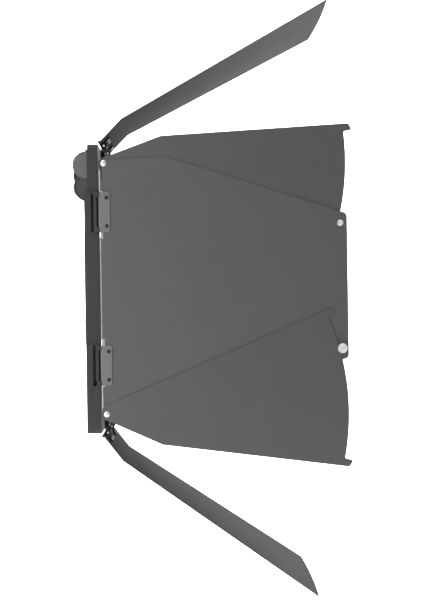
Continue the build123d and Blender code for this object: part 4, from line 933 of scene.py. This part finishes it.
# ====================================================================== control box
# A low moulded cover on the back holds the driver, a display, two dials and a rocker. Four
# screws hold it; the aluminium block in its middle takes the stand.
# The cover and latches are grained ABS, which looks satin; the rocker is polished.
black_plastic = moulded("black_abs", "#151516", "#1C1C1D", 0.45, 0.7, 0.01)
grey_plastic = moulded("grey_abs_pad", "#363638", "#434345", 0.42, 0.8, 0.01)
dial_plastic = moulded("charcoal_abs_dial", "#2E2E30", "#3A3A3C", 0.42, 0.6, 0.01)
rocker_plastic = moulded("gloss_black_rocker", "#161617", "#1D1D1E", 0.22, 0.9, 0.004)
eased("control_box_cover", 0.3, black_plastic, "lamp", "black_plastic", "cover_moulding")
cover_screw_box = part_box("cover_screws")
cover_head_mm = 1.3
cover_head_radius = 2.6
cover_screw_face = cover_screw_box[0].x + cover_head_mm * MM
cover_screw_reach = cover_head_radius * MM
spots = [
    (cover_screw_face, y * (cover_screw_box[1].y - cover_screw_reach),
     z * (cover_screw_box[1].z - cover_screw_reach))
    for y in (-1, 1) for z in (-1, 1)
]
screw = pan_screw(cover_head_radius, cover_head_mm, 1.25, 6.0)
heads = set_out("cover_heads", spots, (-1, 0, 0), screw, blackened, 13)
fit_piece("cover_heads", heads, blackened, "lamp", "black_steel", "cover_screws")
dress("driver_board", solder_mask)
for node in ("driver_components", "board_connector", "display_module", "switch_body",
             "dial_encoders", "dc_inlet"):
    dress(node, black_plastic)
eased("power_rocker", 0.3, rocker_plastic, "power_rocker", "rocker_plastic", "rocker_cap")
eased("brightness_dial", 0.25, dial_plastic, "brightness_dial", "soft_black_plastic",
      "brightness_cap")
eased("colour_dial", 0.25, dial_plastic, "colour_dial", "soft_black_plastic", "colour_cap")

# The display window is a smoked acrylic plate, polished, over a dark module.
smoked, smoked_shader, smoked_mm = start_material("smoked_acrylic")
haze = add_node(smoked, "ShaderNodeTexNoise", [("Vector", smoked_mm), ("Scale", 1 / 9)])
haze_tint = add_node(smoked, "ShaderNodeMix", [
    (0, haze.outputs["Fac"]), (6, linear("#0A0A0C")), (7, linear("#121216")),
], data_type="RGBA")
smoked.node_tree.links.new(haze_tint.outputs[2], smoked_shader.inputs["Base Color"])
smoked_gloss = add_node(smoked, "ShaderNodeMapRange", [
    ("Value", haze.outputs["Fac"]), ("To Min", 0.06), ("To Max", 0.12),
])
smoked.node_tree.links.new(smoked_gloss.outputs[0], smoked_shader.inputs["Roughness"])
smoked_shader.inputs["IOR"].default_value = 1.49
eased("display_window", 0.2, smoked, "lamp", "display_glass", "display_lens")

# The stand block is milled aluminium with a brass insert; the insert's thread is a quarter
# inch, twenty to the inch, drawn as rings.
milled = plated_steel("milled_aluminium", "#A9ABAD", "#C2C4C6", 0.35, 0.5)
brass = plated_steel("turned_brass", "#B08A45", "#CFAA63", 0.28, 0.4)
eased("stand_block", 0.35, milled, "lamp", "bare_aluminium", "stand_block_milled")
block_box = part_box("stand_block_screws")
block_reach = 3.75 * MM
block_head_mm = 2.0
block_face = block_box[0].x + block_head_mm * MM
spots = [
    (block_face, y * (block_box[1].y - block_reach), z * (block_box[1].z - block_reach))
    for y in (-1, 1) for z in (-1, 1)
]
screw = pan_screw(3.7, block_head_mm, 1.9, 6.0)
heads = set_out("block_heads", spots, (-1, 0, 0), screw, nickel, 17)
fit_piece("block_heads", heads, nickel, "lamp", "bright_steel", "stand_block_screws")

insert_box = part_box("stand_thread_insert")
insert_radius = (insert_box[1].y - insert_box[0].y) / 2 / MM
insert_length = (insert_box[1].x - insert_box[0].x) / MM
thread_pitch = 1.27
thread_minor, thread_major = 2.56, 3.1
insert_sides = 48
build = bmesh.new()
insert_rings = [(insert_radius, 0.3), (insert_radius, insert_length), (thread_minor, insert_length)]
turns = int((insert_length - 1.0) / thread_pitch)
for number in range(turns, 0, -1):
    insert_rings.append((thread_major, (number + 0.25) * thread_pitch - 0.4))
    insert_rings.append((thread_minor, (number - 0.25) * thread_pitch - 0.4))
insert_rings += [(thread_major, 0.0), (insert_radius - 0.3, 0.0)]
rows = []
for radius, depth in insert_rings:
    rows.append([
        build.verts.new((
            insert_box[0].x + depth * MM,
            radius * math.cos(2 * math.pi * i / insert_sides) * MM,
            radius * math.sin(2 * math.pi * i / insert_sides) * MM,
        )) for i in range(insert_sides)
    ])
for below, above in zip(rows, rows[1:] + rows[:1]):
    for i in range(insert_sides):
        after = (i + 1) % insert_sides
        build.faces.new((below[i], below[after], above[after], above[i]))
bmesh.ops.recalc_face_normals(build, faces=build.faces)
insert_mesh = bpy.data.meshes.new("thread_insert")
build.to_mesh(insert_mesh)
build.free()
for face in insert_mesh.polygons:
    face.use_smooth = True
insert_mesh.set_sharp_from_angle(angle=math.radians(35))
fit_piece("thread_insert", insert_mesh, brass, "lamp", "brass", "stand_thread_insert")

# ========================================================================== latches
# Two slide latches at the upper corners hold the head in the frame. The base is black ABS
# on a steel tab; the round pad that slides is grey, with a raised rim.
for side_name in ("near", "far"):
    eased(side_name + "_latch_base", 0.5, black_plastic, "lamp", "black_plastic",
          side_name + "_latch_moulding")
    eased(side_name + "_latch_bolt", 0.9, grey_plastic, side_name + "_latch_bolt",
          "soft_black_plastic", side_name + "_latch_pad")
dress("latch_guide_pins", nickel)
